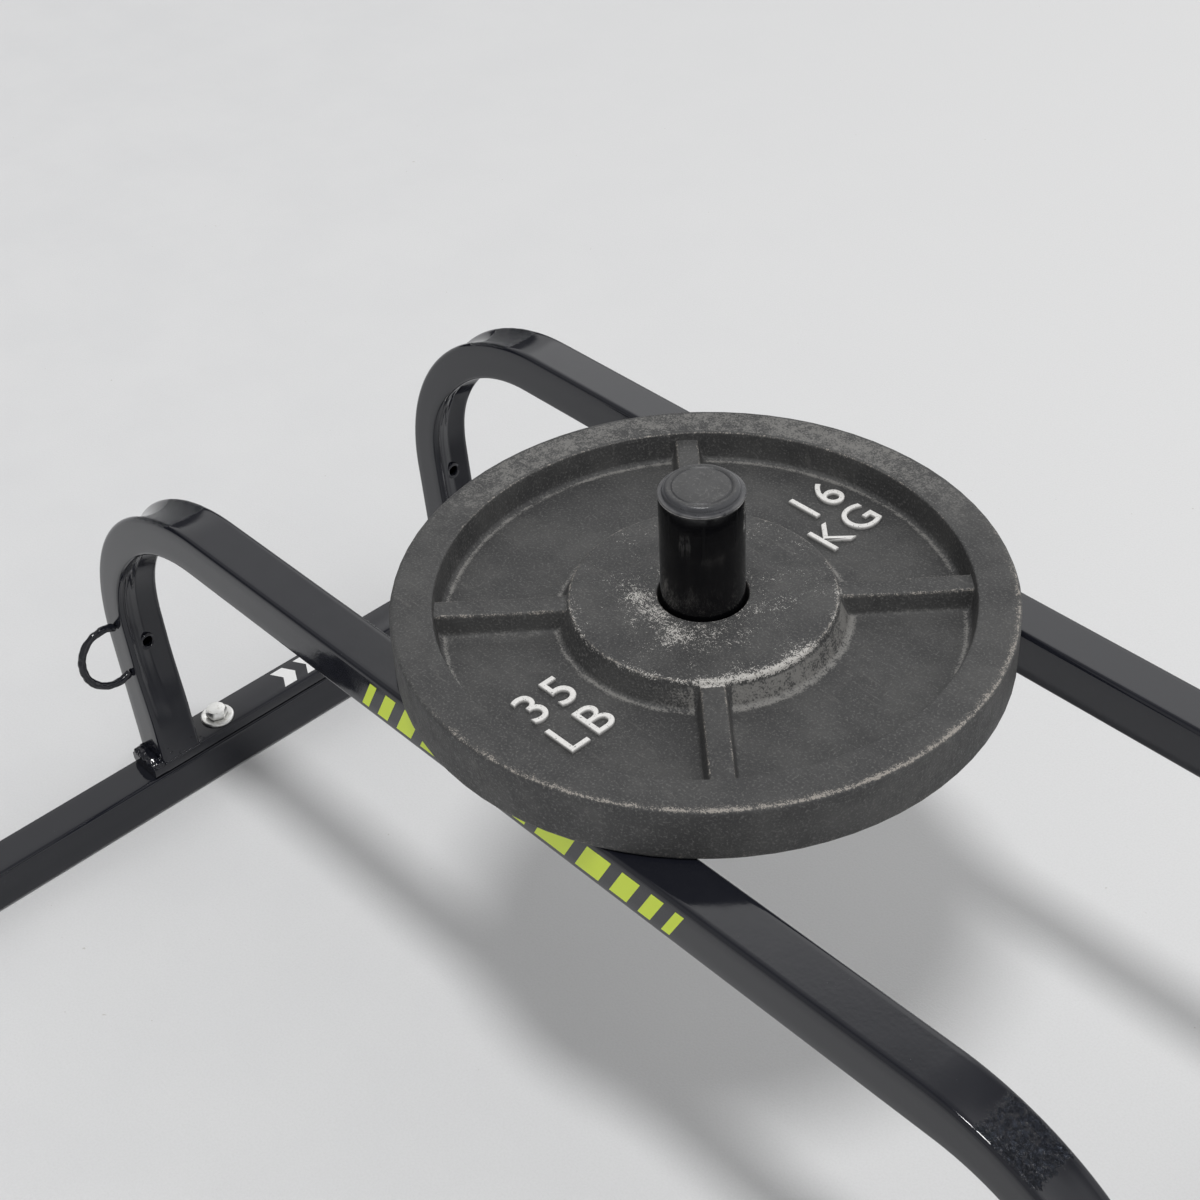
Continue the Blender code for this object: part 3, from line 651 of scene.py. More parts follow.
def tube_section(steps, wall, walls=(HALF_TUBE, HALF_TUBE), crease=0.0, dip=0.0, travel=1.0):
    """Cross-section as (outward, sideways, outer wall's share) points, from the outer wall's middle round."""
    out_steps, side_steps, in_steps, corner_steps = steps
    corner = TUBE_CORNER - wall
    half = HALF_TUBE - wall
    flat = half - corner
    reach_out, reach_in = walls[0] - wall, walls[1] - wall
    high, low = reach_out - corner, corner - reach_in

    def outer(shares, side):
        return [(reach_out - dip * (1 - s * s), side * s * flat, 1.0) for s in shares]

    def quarter(index, out, side, first, last):
        made = []
        for i in range(corner_steps + 1):
            s = i / corner_steps
            a = math.pi / 2 * (index + s)
            share = first * (1.0 - s) + last * s
            made.append((out + corner * math.cos(a), side + corner * math.sin(a), share))
        return made

    def flank(first, last, side):
        shares = [i / side_steps for i in range(1, side_steps)]
        return [(first * (1 - s) + last * s, side, 0.0) for s in shares]

    across = [1 - 2 * i / in_steps for i in range(1, in_steps)]
    inner = [(pressed_wall(s, travel, crease) - reach_in, s * flat, 0.0) for s in across]
    return [*outer([i / out_steps for i in range(out_steps)], 1), *quarter(0, high, flat, 1.0, 0.0),
            *flank(high, low, half), *quarter(1, low, flat, 0.0, 0.0), *inner,
            *quarter(2, low, -flat, 0.0, 0.0), *flank(low, high, -half), *quarter(3, high, -flat, 0.0, 1.0),
            *outer([1 - i / out_steps for i in range(1, out_steps)], -1)]


def hoop_stations():
    """(centre, normal, travel) along the hoop's left half, close together where it is pressed."""
    bend = Vector((CORNER_X - BEND_RADIUS * math.tan(TURN / 2), RAIL_CENTRE - BEND_RADIUS))
    run_in = (BEND_OUTER - BEND_INNER) / 2 * math.tan(TURN / 2)
    stations = [(Vector(((bend.x - run_in) * i / 4, RAIL_CENTRE)), RAIL_NORMAL, -1.0) for i in range(4)]
    for i in range(9):
        stations.append((Vector((bend.x - run_in * (1 - i / 9), RAIL_CENTRE)), RAIL_NORMAL, -0.001 * (9 - i)))
    for i in range(93):
        angle = TURN * i / 92
        normal = Vector((math.sin(angle), math.cos(angle)))
        stations.append((bend + normal * BEND_RADIUS, normal, BEND_RADIUS * angle))
    start = bend + LEG_NORMAL * BEND_RADIUS
    for i in range(1, 29):
        run = CREASE_RUN * i / 28
        stations.append((start + LEG_DOWN * run, LEG_NORMAL, BEND_LENGTH + run))
    return stations


def hoop_ring(graph, layer, y, sign, wall, centre, normal, travel):
    """One ring of the hoop's skin at a station; sign turns the left half into the right one."""
    outward = wall_reach(centre, normal, HALF_TUBE, BEND_OUTER)
    inward = -wall_reach(centre, normal, -HALF_TUBE, BEND_INNER)
    fade = 1.0 - ease(BEND_LENGTH + CREASE_RUN * 0.2, BEND_LENGTH + CREASE_RUN, travel)
    press = PRESS_DEPTH * ease(BEND_LENGTH * 0.45, BEND_LENGTH * 0.85, travel) * fade
    crease = CREASE_DEPTH * ease(0.0, BEND_LENGTH * 0.5, travel) * fade
    runs_out = 1.0 - ease(BEND_LENGTH * 0.6, BEND_LENGTH, travel)
    dip = DIP_DEPTH * ease(0.0, BEND_LENGTH * 0.3, travel) * runs_out
    patch = window(0.014, 0.067, 0.012, travel)
    ring = []
    section = tube_section(HOOP_STEPS, wall, (outward, inward - press), crease, dip, travel)
    for out, side, outer_wall in section:
        place = Vector((sign * (centre.x + normal.x * out), y + side, centre.y + normal.y * out))
        # Mask of the pressed patch on the outer wall: it sinks the wall a little and marks where the paint
        # carries its painted reflection.
        press_and_reflection = patch * outer_wall * (1.0 if sign < 0 else 0.55)
        if press_and_reflection:
            rough = noise.noise(Vector((place.x * 160, place.y * 70, place.z * 160)))
            sink = 0.00035 * press_and_reflection * (0.5 + rough)
            place -= Vector((normal.x * sign, 0.0, normal.y)) * sink
        place.x = min(max(place.x, -WIDEST_X), WIDEST_X)
        vertex = graph.verts.new(place)
        vertex[layer] = press_and_reflection
        ring.append(vertex)
    return ring


def leg_hole(sign, y):
    """Place of a leg's hole on the leg's axis, the way inward and the turn from Z to it."""
    middle = Vector((sign * (FOOT_X + (LEG_HOLE_Z - FOOT_Z) * math.tan(LEG_LEAN)), y, LEG_HOLE_Z))
    inward = Vector((-sign * math.cos(LEG_LEAN), 0.0, math.sin(LEG_LEAN)))
    return middle, inward, inward.to_track_quat("Z", "Y").to_matrix().to_4x4()


def make_hoop(name, y, material):
    graph = bmesh.new()
    layer = graph.verts.layers.float.new("press_and_reflection")
    stations = hoop_stations()
    skins = []
    for wall in (0.0, TUBE_WALL):
        halves = []
        for sign in (-1, 1):
            half = [hoop_ring(graph, layer, y, sign, wall, *station) for station in stations[1:]]
            half.append([graph.verts.new((sign * (FOOT_X + out / math.cos(LEG_LEAN)), y + side, FOOT_Z))
                         for out, side, _ in tube_section(HOOP_STEPS, wall)])
            halves.append(half)
        middle = hoop_ring(graph, layer, y, 1, wall, *stations[0])
        skins.append(halves[0][::-1] + [middle] + halves[1])
    skin_tube(graph, skins)
    hoop = stand(name, graph_to_mesh(graph, name))
    drills = []
    for sign in SIDES.values():
        graph = bmesh.new()
        bmesh.ops.create_cone(graph, cap_ends=True, segments=32, radius1=LEG_HOLE_RADIUS,
                              radius2=LEG_HOLE_RADIUS, depth=TUBE_SIZE)
        middle, inward, turn = leg_hole(sign, y)
        centre = middle + inward * HALF_TUBE
        bmesh.ops.transform(graph, matrix=Matrix.Translation(centre) @ turn, verts=graph.verts)
        drills.append(stand("leg_drill", graph_to_mesh(graph, "leg_drill")))
        cut = hoop.modifiers.new("leg_hole", "BOOLEAN")
        cut.operation, cut.solver, cut.object = "DIFFERENCE", "EXACT", drills[-1]
    plain = baked(hoop)
    for drill in drills:
        bpy.data.objects.remove(drill)
    finish_piece(plain, name, material, (name.replace("_pressed_tube", "_hoop"),), 40.0)


def make_hole_rims(material):
    """Rolled rims of the threaded holes in the legs' inner faces."""
    graph = bmesh.new()
    for sign in SIDES.values():
        for y in (-HOOP_Y, HOOP_Y):
            middle, inward, turn = leg_hole(sign, y)
            rings = []
            for angle in circle(32):
                rise = HALF_TUBE - 0.0071 + 0.0013 * abs(math.sin(angle))
                ring = []
                for roll in circle(8):
                    reach = LEG_HOLE_RADIUS + 0.0013 + 0.0012 * math.cos(roll)
                    local = polar(reach, angle, 0.0007 * math.sin(roll))
                    ring.append(graph.verts.new(middle + inward * rise + turn @ local))
                rings.append(ring)
            skin_rings(graph, rings, True)
    finish_piece(graph_to_mesh(graph, "leg_hole_rims"), "leg_hole_rims", material)


# Weight plate

def plate_rows():
    """Rows of the casting's outline: (radius, height, edge, dust and painted light), from the bore over the
    top to the foot.
    """
    parts = (
        ([(PLATE_BORE, z) for z in (0.0006, 0.012, 0.024)], (0.1, 0.0, 0.0)),
        (arc((PLATE_BORE + 0.0008, HUB_TOP - 0.0008), 0.0008, 180, 90, 3), 0.45),
        (at_height(HUB_TOP, 0.0276, 0.0290, 0.031, 0.034, 0.038, 0.042, 0.046, 0.051, 0.056, 0.061, 0.065,
                   0.068, 0.0705, 0.0728, 0.0748), (0.2, *(0.0,) * 13, 0.10)),
        (arc((HUB_RADIUS - 0.0020, HUB_TOP - 0.0020), 0.0020, 88, 14, 5),
         (0.28, 0.58, 0.76, 0.50, 0.18, 0.05)),
        (((0.0782, 0.0270), (0.0796, 0.0236), (0.0807, 0.0210)), 0.0, (0.0, 0.1, 0.25)),
        (arc((0.0850, WEB_TOP + 0.0034), 0.0034, 195, 268, 5), 0.0, (0.30, 0.30, 0.35, 0.55, 0.80, 1.0)),
        (at_height(WEB_TOP, 0.0862, 0.0878, 0.0920, 0.098, 0.106, 0.114, 0.122, 0.130, 0.138, 0.1440, 0.1462,
                   0.1474), 0.0, (0.7, 0.2, *(0.0,) * 8, 0.25, 0.8)),
        (arc((0.1486, WEB_TOP + 0.0032), 0.0032, 272, 346, 5), 0.0, (1.0, 0.7, 0.3, 0.1, 0.0, 0.0)),
        (((0.1524, 0.0230), (0.1530, 0.0280), (0.1534, 0.0320)),),
        (arc((RIM_INNER + 0.0010, RIM_TOP - 0.0012), 0.0012, 172, 92, 4), (0.15, 0.50, 0.68, 0.60, 0.35)),
        (at_height(RIM_TOP, 0.1560, 0.1580, 0.1610, 0.1650, 0.1690, 0.1715, 0.1732, 0.1746),
         (0.12, 0.05, 0.04, 0.04, 0.05, 0.12, 0.34, 0.62)),
        (arc((PLATE_RADIUS - 0.0024, RIM_TOP - 0.0024), 0.0024, 82, 8, 5),
         (0.85, 1.0, 0.80, 0.40, 0.14, 0.05)),
        ([(PLATE_RADIUS, z) for z in (0.0300, 0.0265, 0.018, 0.008)], (0.02, 0.0, 0.0, 0.0)),
        (arc((PLATE_RADIUS - 0.0024, 0.0024), 0.0024, 0, -90, 4), 0.35),
        (((0.1700, 0.0), (0.1560, 0.0), (0.1514, 0.0026), (0.120, 0.0026), (0.0860, 0.0026), (0.0818, 0.0),
          (0.050, 0.0), (0.0268, 0.0)), (0.2, 0.2, 0.0, 0.0, 0.0, 0.2, 0.1, 0.2),
         (0.0, 0.0, 0.4, 0.0, 0.4, 0.0, 0.0, 0.0)),
    )
    return [row for part in parts for row in painted_rows(*part)]


# Places across a rib's half, each with its share of the rib's height
RIB_SIDE = ((0.0, 1.0), (0.0030, 1.0), (0.0052, 0.997), (0.0061, 0.985), (0.0066, 0.955),
            (0.0069, 0.90), (0.00725, 0.80), (0.0077, 0.62), (0.0082, 0.42), (0.0087, 0.23),
            (0.0091, 0.10), (0.0096, 0.030), (0.0106, 0.0))
COLUMNS_BETWEEN_RIBS = 18
# Rubbed spots on the hub: x, y, size and amount
HUB_SPOTS = ((-0.0225, -0.0303, 0.0085, 0.34), (-0.0061, -0.0306, 0.0085, 0.34),
             (0.0105, -0.0365, 0.0070, 0.30), (0.0200, -0.0420, 0.0060, 0.18),
             (0.0680, -0.0030, 0.0070, 0.22), (0.0590, -0.0330, 0.0060, 0.16))


def rib_height(share, radius):
    """Height of a rib above the plate's seat at one place across it; its crest sags a little."""
    crest = RIB_RISE - 0.0006 * math.sin(math.pi * ease(HUB_RADIUS, RIM_INNER, radius))
    return WEB_TOP + crest * share


def hub_wear(place):
    """Where plates and collars have rubbed the hub: left of the bore and along the near right edge."""
    radius = math.hypot(place.x, place.y)
    if radius > 0.0785 or place.z < PLATE_SEAT + 0.0285:
        return 0.0
    angle = math.degrees(math.atan2(place.y, place.x))
    total = 0.24 + 0.24 * ease(0.064, 0.029, radius) * (0.55 + 0.45 * math.cos(math.radians(angle + 50.0)))
    total += 0.36 * ease(0.0665, 0.0755, radius) * window(-52.0, 14.0, 9.0, angle)
    total += 0.24 * ease(0.0725, 0.0760, radius) * window(-150.0, 75.0, 30.0, angle)
    for x, y, size, amount in HUB_SPOTS:
        gap = math.hypot(place.x - x, place.y - y) / size
        total += amount * math.exp(-gap * gap)
    return min(total, 0.86)


def plate_columns(radius):
    """(angle, share of the rib's height, beside a rib or not) from one rib to the next at a radius."""
    shares = [(-y, share) for y, share in RIB_SIDE[:0:-1]] + list(RIB_SIDE)
    columns = [(math.asin(y / radius), share) for y, share in shares]
    last = columns[-1][0]
    for i in range(1, COLUMNS_BETWEEN_RIBS):
        columns.append((last + (math.pi / 2 - 2 * last) * i / COLUMNS_BETWEEN_RIBS, 0.0))
    return [(angle, share, abs(angle - last) * radius < 0.0012) for angle, share in columns]


def make_weight_plate(material):
    """Cast plate on a polar grid whose lines follow the ribs, so that every junction is rounded."""
    graph = bmesh.new()
    layers = [graph.verts.layers.float.new(name) for name in ("edge", "dust_and_painted_light", "hub")]
    rings = []
    for radius, height, edge, dust_and_painted_light in plate_rows():
        ring = []
        in_recess = height > 0.010 and HUB_RADIUS - 0.001 < radius < RIM_INNER + 0.001
        for rib in range(4):
            for angle, share, beside_rib in plate_columns(radius):
                z, e, d = height, edge, dust_and_painted_light
                if in_recess and share > 0.0:
                    top = rib_height(share, radius)
                    if top > z:
                        z = top
                        e = 0.62 if 0.88 < share < 0.99 else 0.06
                        d = 0.42 if share < 0.12 else 0.0
                    z += 0.0005 * max(0.0, 1.0 - abs(top - height) / 0.002)
                elif in_recess and beside_rib:
                    d = max(d, 0.45)
                turn = RIB_TURN + math.pi / 4 + math.pi / 2 * rib + angle
                far = -math.cos(turn + math.pi / 4)
                # Painted sheen: the rim's top is made paler towards the far side, painted light in place of
                # dust.
                if z > 0.0340 and 0.1555 < radius < 0.1750:
                    d = 0.72 * ease(0.0, 0.8, far)
                if z > 0.026 and radius > 0.1700:
                    e *= 0.30 + 0.70 * max(0.0, math.cos(turn + 0.30)) ** 0.7
                elif z > 0.033 and radius < 0.1570 and height > 0.033:
                    e *= ease(0.1, 0.6, far)
                # Painted light: the hub's foot is made paler on its +x side, from azimuth -80 to 85 degrees,
                # as if lit from that side.
                if 0.0775 < radius < 0.0852 and z < 0.028 and share == 0.0:
                    azimuth = math.degrees((turn + math.pi) % (2 * math.pi) - math.pi)
                    d = max(d, 0.95 * window(-80.0, 85.0, 35.0, azimuth))
                place = polar(radius, turn, PLATE_SEAT + z)
                if 0.001 < z < RIM_TOP - 0.0004:
                    place.z += noise.noise(place * 22.0) * 0.00022
                vertex = graph.verts.new(place)
                for layer, value in zip(layers, (e, d, hub_wear(place))):
                    vertex[layer] = value
                ring.append(vertex)
        rings.append(ring)
    skin_rings(graph, rings, True)
    mesh = graph_to_mesh(graph, "cast_weight_plate")
    finish_piece(mesh, "cast_weight_plate", material, ("weight_plate",), 60.0, "plate")


def cast_word(text, height):
    """Raised mark as a mesh: thickened letters with rounded upper edges."""
    curve = bpy.data.curves.new("mark", "FONT")
    curve.body, curve.size = text, height / 0.70
    curve.align_x = curve.align_y = "CENTER"
    curve.offset, curve.extrude, curve.bevel_depth = -0.00050, 0.0011, 0.00060
    curve.bevel_resolution, curve.space_character, curve.resolution_u = 2, 1.22, 8
    return baked(stand("mark", curve))


def make_weight_marks(material):
    """Plain weight numbers on the plate's web, read from the loading side."""
    graph = bmesh.new()
    for text, height, x, y in (("35", 0.0232, -0.0078, -0.1135), ("LB", 0.0225, 0.0225, -0.1150),
                               ("16", 0.0232, -0.0225, 0.1215), ("KG", 0.0225, 0.0072, 0.1150)):
        mesh = cast_word(text, height)
        turn = Matrix.Rotation(math.pi / 2, 4, "Z")
        mesh.transform(Matrix.Translation((x, y, PLATE_SEAT + WEB_TOP + 0.0008)) @ turn)
        graph.from_mesh(mesh)
    bmesh.ops.remove_doubles(graph, verts=graph.verts, dist=0.00001)
    layer = graph.verts.layers.float.new("skirt")
    for vertex in graph.verts:
        vertex[layer] = ease(PLATE_SEAT + WEB_TOP + 0.0018, PLATE_SEAT + WEB_TOP + 0.0010, vertex.co.z)
    mesh = graph_to_mesh(graph, "raised_weight_marks")
    finish_piece(mesh, "raised_weight_marks", material, (), 40.0, "plate")


# Horn and cap

def make_horn(material):
    outline = [(HORN_BORE, PLATE_SEAT), (HORN_BORE, HORN_TOP)]
    outline += arc((HORN_RADIUS - 0.0006, HORN_TOP - 0.0006), 0.0006, 90, 0, 3)
    outline += [(HORN_RADIUS, HORN_TOP - 0.02 * i) for i in range(1, 5)]
    outline += arc((HORN_RADIUS - 0.0006, PLATE_SEAT + 0.0006), 0.0006, 0, -90, 3)
    finish_piece(lathe(outline, 112), "loading_horn", material, ("horn_tube",))


def make_horn_cap(material):
    """Push-in cap: a sunk disc in a rolled dome, a thin flange and a hollow plug."""
    seat = HORN_TOP + SEAT_GAP
    rim = HORN_RADIUS + 0.0002
    top = seat + 0.0014
    crown = top + 0.0040
    plug = HORN_BORE - 0.0004
    foot = HORN_TOP - 0.016
    outline = painted_rows(at_height(crown - 0.0004, 0.0, 0.008, 0.0154), 1.0)
    outline += [(0.0161, crown - 0.0005, 0.9, 0.0), (0.0165, crown - 0.0009, 0.2, 0.0)]
    for radius, height in arc((0.0187, crown - 0.0030), 0.0028, 134, -4, 16):
        disc = 0.85 * ease(0.0209, 0.0188, radius) * ease(0.0164, 0.0172, radius)
        outline.append((radius, height, disc, 0.0))
    outline += painted_rows(((0.0217, top + 0.0005), (0.0221, top + 0.0001)))
    # The flange's rounded edge and foot carry the painted highlight along the seam.
    outline += painted_rows(arc((rim - 0.0006, top - 0.0006), 0.0006, 90, 0, 3), 0.0, 0.15)
    outline += [(rim, seat + 0.0003, 0.0, 0.9), (rim, seat, 0.0, 1.0)]
    hollow, roof = plug - 0.0024, seat - 0.0024
    outline += painted_rows(((plug, seat), (plug, foot), (hollow, foot), (hollow, roof), (0.0, roof)))
    mesh = lathe(outline, 112, ("disc", "seam_highlight"))
    finish_piece(mesh, "horn_end_cap", material, ("horn_cap",))


# Skis and base bars

def make_ski(side, sign, material):
    """Ski of straight square tube with both ends turned up."""
    path = []
    for end in (-1, 1):
        half = []
        bend = Vector((sign * FOOT_X, end * SKI_STRAIGHT / 2, HALF_TUBE + SKI_RADIUS))
        for i in range(15):
            angle = SKI_SWEEP * i / 14
            sole = Vector((0.0, end * math.sin(angle), -math.cos(angle)))
            half.append((bend + sole * SKI_RADIUS, sole))
        leaving = Vector((0.0, end * math.cos(SKI_SWEEP), math.sin(SKI_SWEEP)))
        half.append((half[-1][0] + leaving * SKI_TAIL, half[-1][1]))
        path = half[::-1] if end < 0 else path + half
    graph = bmesh.new()
    skins = []
    for wall in (0.0, TUBE_WALL):
        section = tube_section(SKI_STEPS, wall)
        skins.append([[graph.verts.new(centre + sole * out + Vector((across, 0.0, 0.0)))
                       for out, across, _ in section] for centre, sole in path])
    skin_tube(graph, skins)
    name = f"{side}_ski_tube"
    finish_piece(graph_to_mesh(graph, name), name, material, (f"{side}_ski",), 40.0)


def make_base_bar(side, sign, material):
    """Flat bar with softened edges and rough flame-cut ends."""
    graph = bmesh.new()
    half_width, edge = HALF_TUBE - 0.0009, 0.0024
    rings = []
    for i in range(91):
        y = -BAR_HALF_LENGTH + BAR_HALF_LENGTH * 2 * i / 90
        near_end = ease(BAR_HALF_LENGTH - 0.010, BAR_HALF_LENGTH, abs(y))
        ring = []
        for cx, cz, start in ((1, 1, 0), (-1, 1, 90), (-1, -1, 180), (1, -1, 270)):
            corner_z = BAR_TOP - edge if cz > 0 else BAR_TOP - BAR_THICKNESS + edge
            for step in range(4):
                angle = math.radians(start + 30 * step)
                place = Vector((sign * FOOT_X + cx * (half_width - edge) + edge * math.cos(angle), y,
                                corner_z + edge * math.sin(angle)))
                rough = abs(noise.noise(place * 260.0)) * 0.0007 * near_end
                place.x -= cx * rough
                place.z -= cz * rough
                ring.append(graph.verts.new(place))
        rings.append(ring)
    skin_rings(graph, rings)
    cap_ends(graph, rings)
    name = f"{side}_flat_bar"
    finish_piece(graph_to_mesh(graph, name), name, material, (f"{side}_base_bar",), 30.0)


# Hardware

def hex_bolt_mesh():
    """Hex head with a turned top chamfer and a washer face, on its shank."""
    seat = BAR_TOP + SEAT_GAP + WASHER_THICKNESS + SEAT_GAP
    crown = seat + 0.0062
    tip = TUBE_SIZE - TUBE_WALL - SEAT_GAP - 0.0102
    corner = 0.00825
    graph = bmesh.new()
    rings = []
    for level, radius in ((tip, 0.0042), (tip + 0.0004, 0.0048), (seat, 0.0048)):
        rings.append([graph.verts.new(polar(radius, angle, level)) for angle in circle(48)])
    head = ((seat, 0.0070, 0.0), (seat + 0.0005, 0.0071, 0.0), (seat + 0.0006, corner, 1.0),
            (crown - 0.0012, corner, 1.0), (crown - 0.0001, 0.0068, 0.25), (crown, 0.0064, 0.0))
    for level, reach, share in head:
        ring = []
        for angle in circle(48):
            flat_reach = corner * math.cos(math.pi / 6) / math.cos((angle % (math.pi / 3)) - math.pi / 6)
            radius = reach * (1 - share) + min(flat_reach, reach) * share
            drop = 0.0011 * share * max(0.0, (radius / corner - 0.90) / 0.10) if level > seat + 0.003 else 0.0
            ring.append(graph.verts.new(polar(radius, angle, level - drop)))
        rings.append(ring)
    skin_rings(graph, rings)
    cap_ends(graph, rings)
    return graph_to_mesh(graph, "hex_bolt")


def washer_mesh():
    low = BAR_TOP + SEAT_GAP
    high = low + WASHER_THICKNESS
    outline = [(0.0053, low), (0.0053, high - 0.0002), (0.0056, high), (0.0112, high)]
    return lathe(outline + arc((0.0113, low + 0.0008), 0.0012, 88, 0, 5) + [(0.0125, low)], 64)


def at_bolt_places(pattern, name):
    """Instance a pattern on the four bolt places with Geometry Nodes and bake the result."""
    source = stand(name + "_pattern", pattern)
    inputs = {"Pattern": "Object", "Across": "Float", "Along": "Float"}
    group = Group(name + "_places", "Geometry", inputs, ("Geometry",))
    given = group.given
    grid = group.node("GeometryNodeMeshGrid", "Mesh", Vertices_X=2, Vertices_Y=2, Size_X=given["Across"],
                      Size_Y=given["Along"])
    copied = group.node("GeometryNodeObjectInfo", "Geometry", Object=given["Pattern"])
    turn = group.node("ShaderNodeCombineXYZ", Z=group.random(0.0, math.pi, 4))
    group.give_copies(grid, copied, Rotation=turn)
    mesh = group.grown_on(bpy.data.meshes.new(name), name, Pattern=source, Across=FOOT_X * 2,
                          Along=BOLT_Y * 2)
    bpy.data.objects.remove(source)
    return mesh


def make_hardware(zinc):
    places = [f"{side}_{end}" for side in SIDES for end in ("front", "rear")]
    for pattern, name, kind, sharp in ((hex_bolt_mesh(), "zinc_hex_bolts", "bolt", 30.0),
                                       (washer_mesh(), "zinc_washers", "washer", 50.0)):
        replaced = [f"{place}_{kind}" for place in places]
        finish_piece(at_bolt_places(pattern, name), name, zinc, replaced, sharp)


def make_tow_ring(side, sign, material):
    """Bent rod ring with the lumpy paint that runs make on it."""
    graph = bmesh.new()
    face_y = -HOOP_Y - HALF_TUBE
    x = sign * (FOOT_X + (TOW_RING_Z - FOOT_Z) * math.tan(LEG_LEAN))
    centre = Vector((x, face_y - TOW_RING_REACH, TOW_RING_Z))
    outward = Vector((0, 1, 0))
    upright = Vector((sign * math.sin(TOW_RING_TILT), 0.0, math.cos(TOW_RING_TILT)))
    sideways = outward.cross(upright).normalized()
    start = math.acos((TOW_RING_REACH - SEAT_GAP) / TOW_RING_RADIUS)
    steps = 96
    rings = []
    for i in range(steps + 1):
        angle = start + (2 * math.pi - 2 * start) * i / steps
        radial = outward * math.cos(angle) + upright * math.sin(angle)
        ring = []
        for roll in circle(18):
            way = radial * math.cos(roll) + sideways * math.sin(roll)
            place = centre + radial * TOW_RING_RADIUS + way * TOW_ROD_RADIUS
            place -= way * (0.00070 * max(0.0, noise.noise(place * 270.0) + 0.25))
            place.y = min(place.y, face_y - SEAT_GAP)
            ring.append(graph.verts.new(place))
        rings.append(ring)
    skin_rings(graph, rings)
    cap_ends(graph, rings)
    name = f"{side}_rod_ring"
    finish_piece(graph_to_mesh(graph, name), name, material, (f"{side}_tow_ring",), 60.0)


# Welds

def weld_runs():
    """Straight runs (start, end) of the broad beads and of the fine ones at the legs' sides."""
    broad, fine = [], []
    for sign in SIDES.values():
        for y in (-HOOP_Y, HOOP_Y):
            for end in (-1, 1):
                edge = y + end * (HALF_TUBE + 0.0006)
                broad.append([(sign * FOOT_X + x, edge, BAR_TOP + 0.0006) for x in (-0.0135, 0.0135)])
            for side in (-1, 1):
                x = sign * FOOT_X + side * (HALF_TUBE - 0.0003)
                fine.append([(x, y + reach, BAR_TOP + 0.0003) for reach in (-0.0145, 0.0145)])
    for end in (-1, 1):
        y = end * (HOOP_Y - HALF_TUBE - 0.0010)
        broad.append([(x, y, RAIL_TOP - 0.0262) for x in (-0.020, 0.020)])
        for side in (-1, 1):
            broad.append([(side * 0.0262, y, RAIL_TOP - depth) for depth in (0.022, 0.005)])
    return broad, fine


def make_weld_beads(material):
    """Overlapping drops along each run, a little uneven, as a welding torch leaves them."""
    group = Group("weld_beads", "Geometry", {"Geometry": "Geometry", "Pitch": "Float", "Drop Radius": "Float",
                                             "Material": "Material"}, ("Geometry",))
    given = group.given
    curve = group.node("GeometryNodeMeshToCurve", Mesh=given["Geometry"])
    points = group.node("GeometryNodeCurveToPoints", "Points", {"mode": "LENGTH"}, Curve=curve,
                        Length=given["Pitch"])
    drop = group.node("GeometryNodeMeshIcoSphere", "Mesh", Subdivisions=2, Radius=given["Drop Radius"])
    group.give_copies(points, drop, Scale=group.random((0.80, 0.80, 0.70), (1.15, 1.15, 1.05), 11))
    broad, fine = weld_runs()
    for name, radius, runs in (("weld_beads", BEAD_RADIUS, broad),
                               ("fine_weld_beads", FINE_BEAD_RADIUS, fine)):
        mesh = bpy.data.meshes.new(name)
        edges = [(2 * i, 2 * i + 1) for i in range(len(runs))]
        mesh.from_pydata([place for run in runs for place in run], edges, [])
        beads = group.grown_on(mesh, name, Pitch=radius * 0.85, Drop_Radius=radius, Material=material)
        finish_piece(beads, name, material, (), 70.0)


def make_weld_pads(material):
    """Built-up weld on the bars' front and rear ends, run together into one pad."""
    graph = bmesh.new()
    squash = (1.0, 1.05, 0.66)
    lumps = ((-0.0105, 0.0005, 0.0040), (-0.005, 0.0012, 0.0043), (0.0005, 0.0006, 0.0040),
             (0.006, 0.0010, 0.0042), (0.0108, 0.0, 0.0038))
    for sign in SIDES.values():
        for end in (-1, 1):
            for dx, dz, size in lumps:
                place = Vector((sign * FOOT_X + dx, end * (HOOP_Y + HALF_TUBE + 0.0042), BAR_TOP + dz))
                drop = bmesh.ops.create_icosphere(graph, subdivisions=4, radius=size * 1.1)
                for vertex in drop["verts"]:
                    way = vertex.co.normalized()
                    swell = 1.0 + 0.22 * noise.noise(way * 2.2 + place * 300.0)
                    vertex.co = Vector(a * b for a, b in zip(vertex.co * swell, squash)) + place
    pads = stand("weld_pads", graph_to_mesh(graph, "weld_pads"))
    flow = pads.modifiers.new("run_together", "REMESH")
    flow.mode, flow.voxel_size = "VOXEL", 0.0005
    soften = pads.modifiers.new("soften", "SMOOTH")
    soften.factor, soften.iterations = 0.5, 3
    finish_piece(baked(pads), "weld_pads", material, (), 70.0)


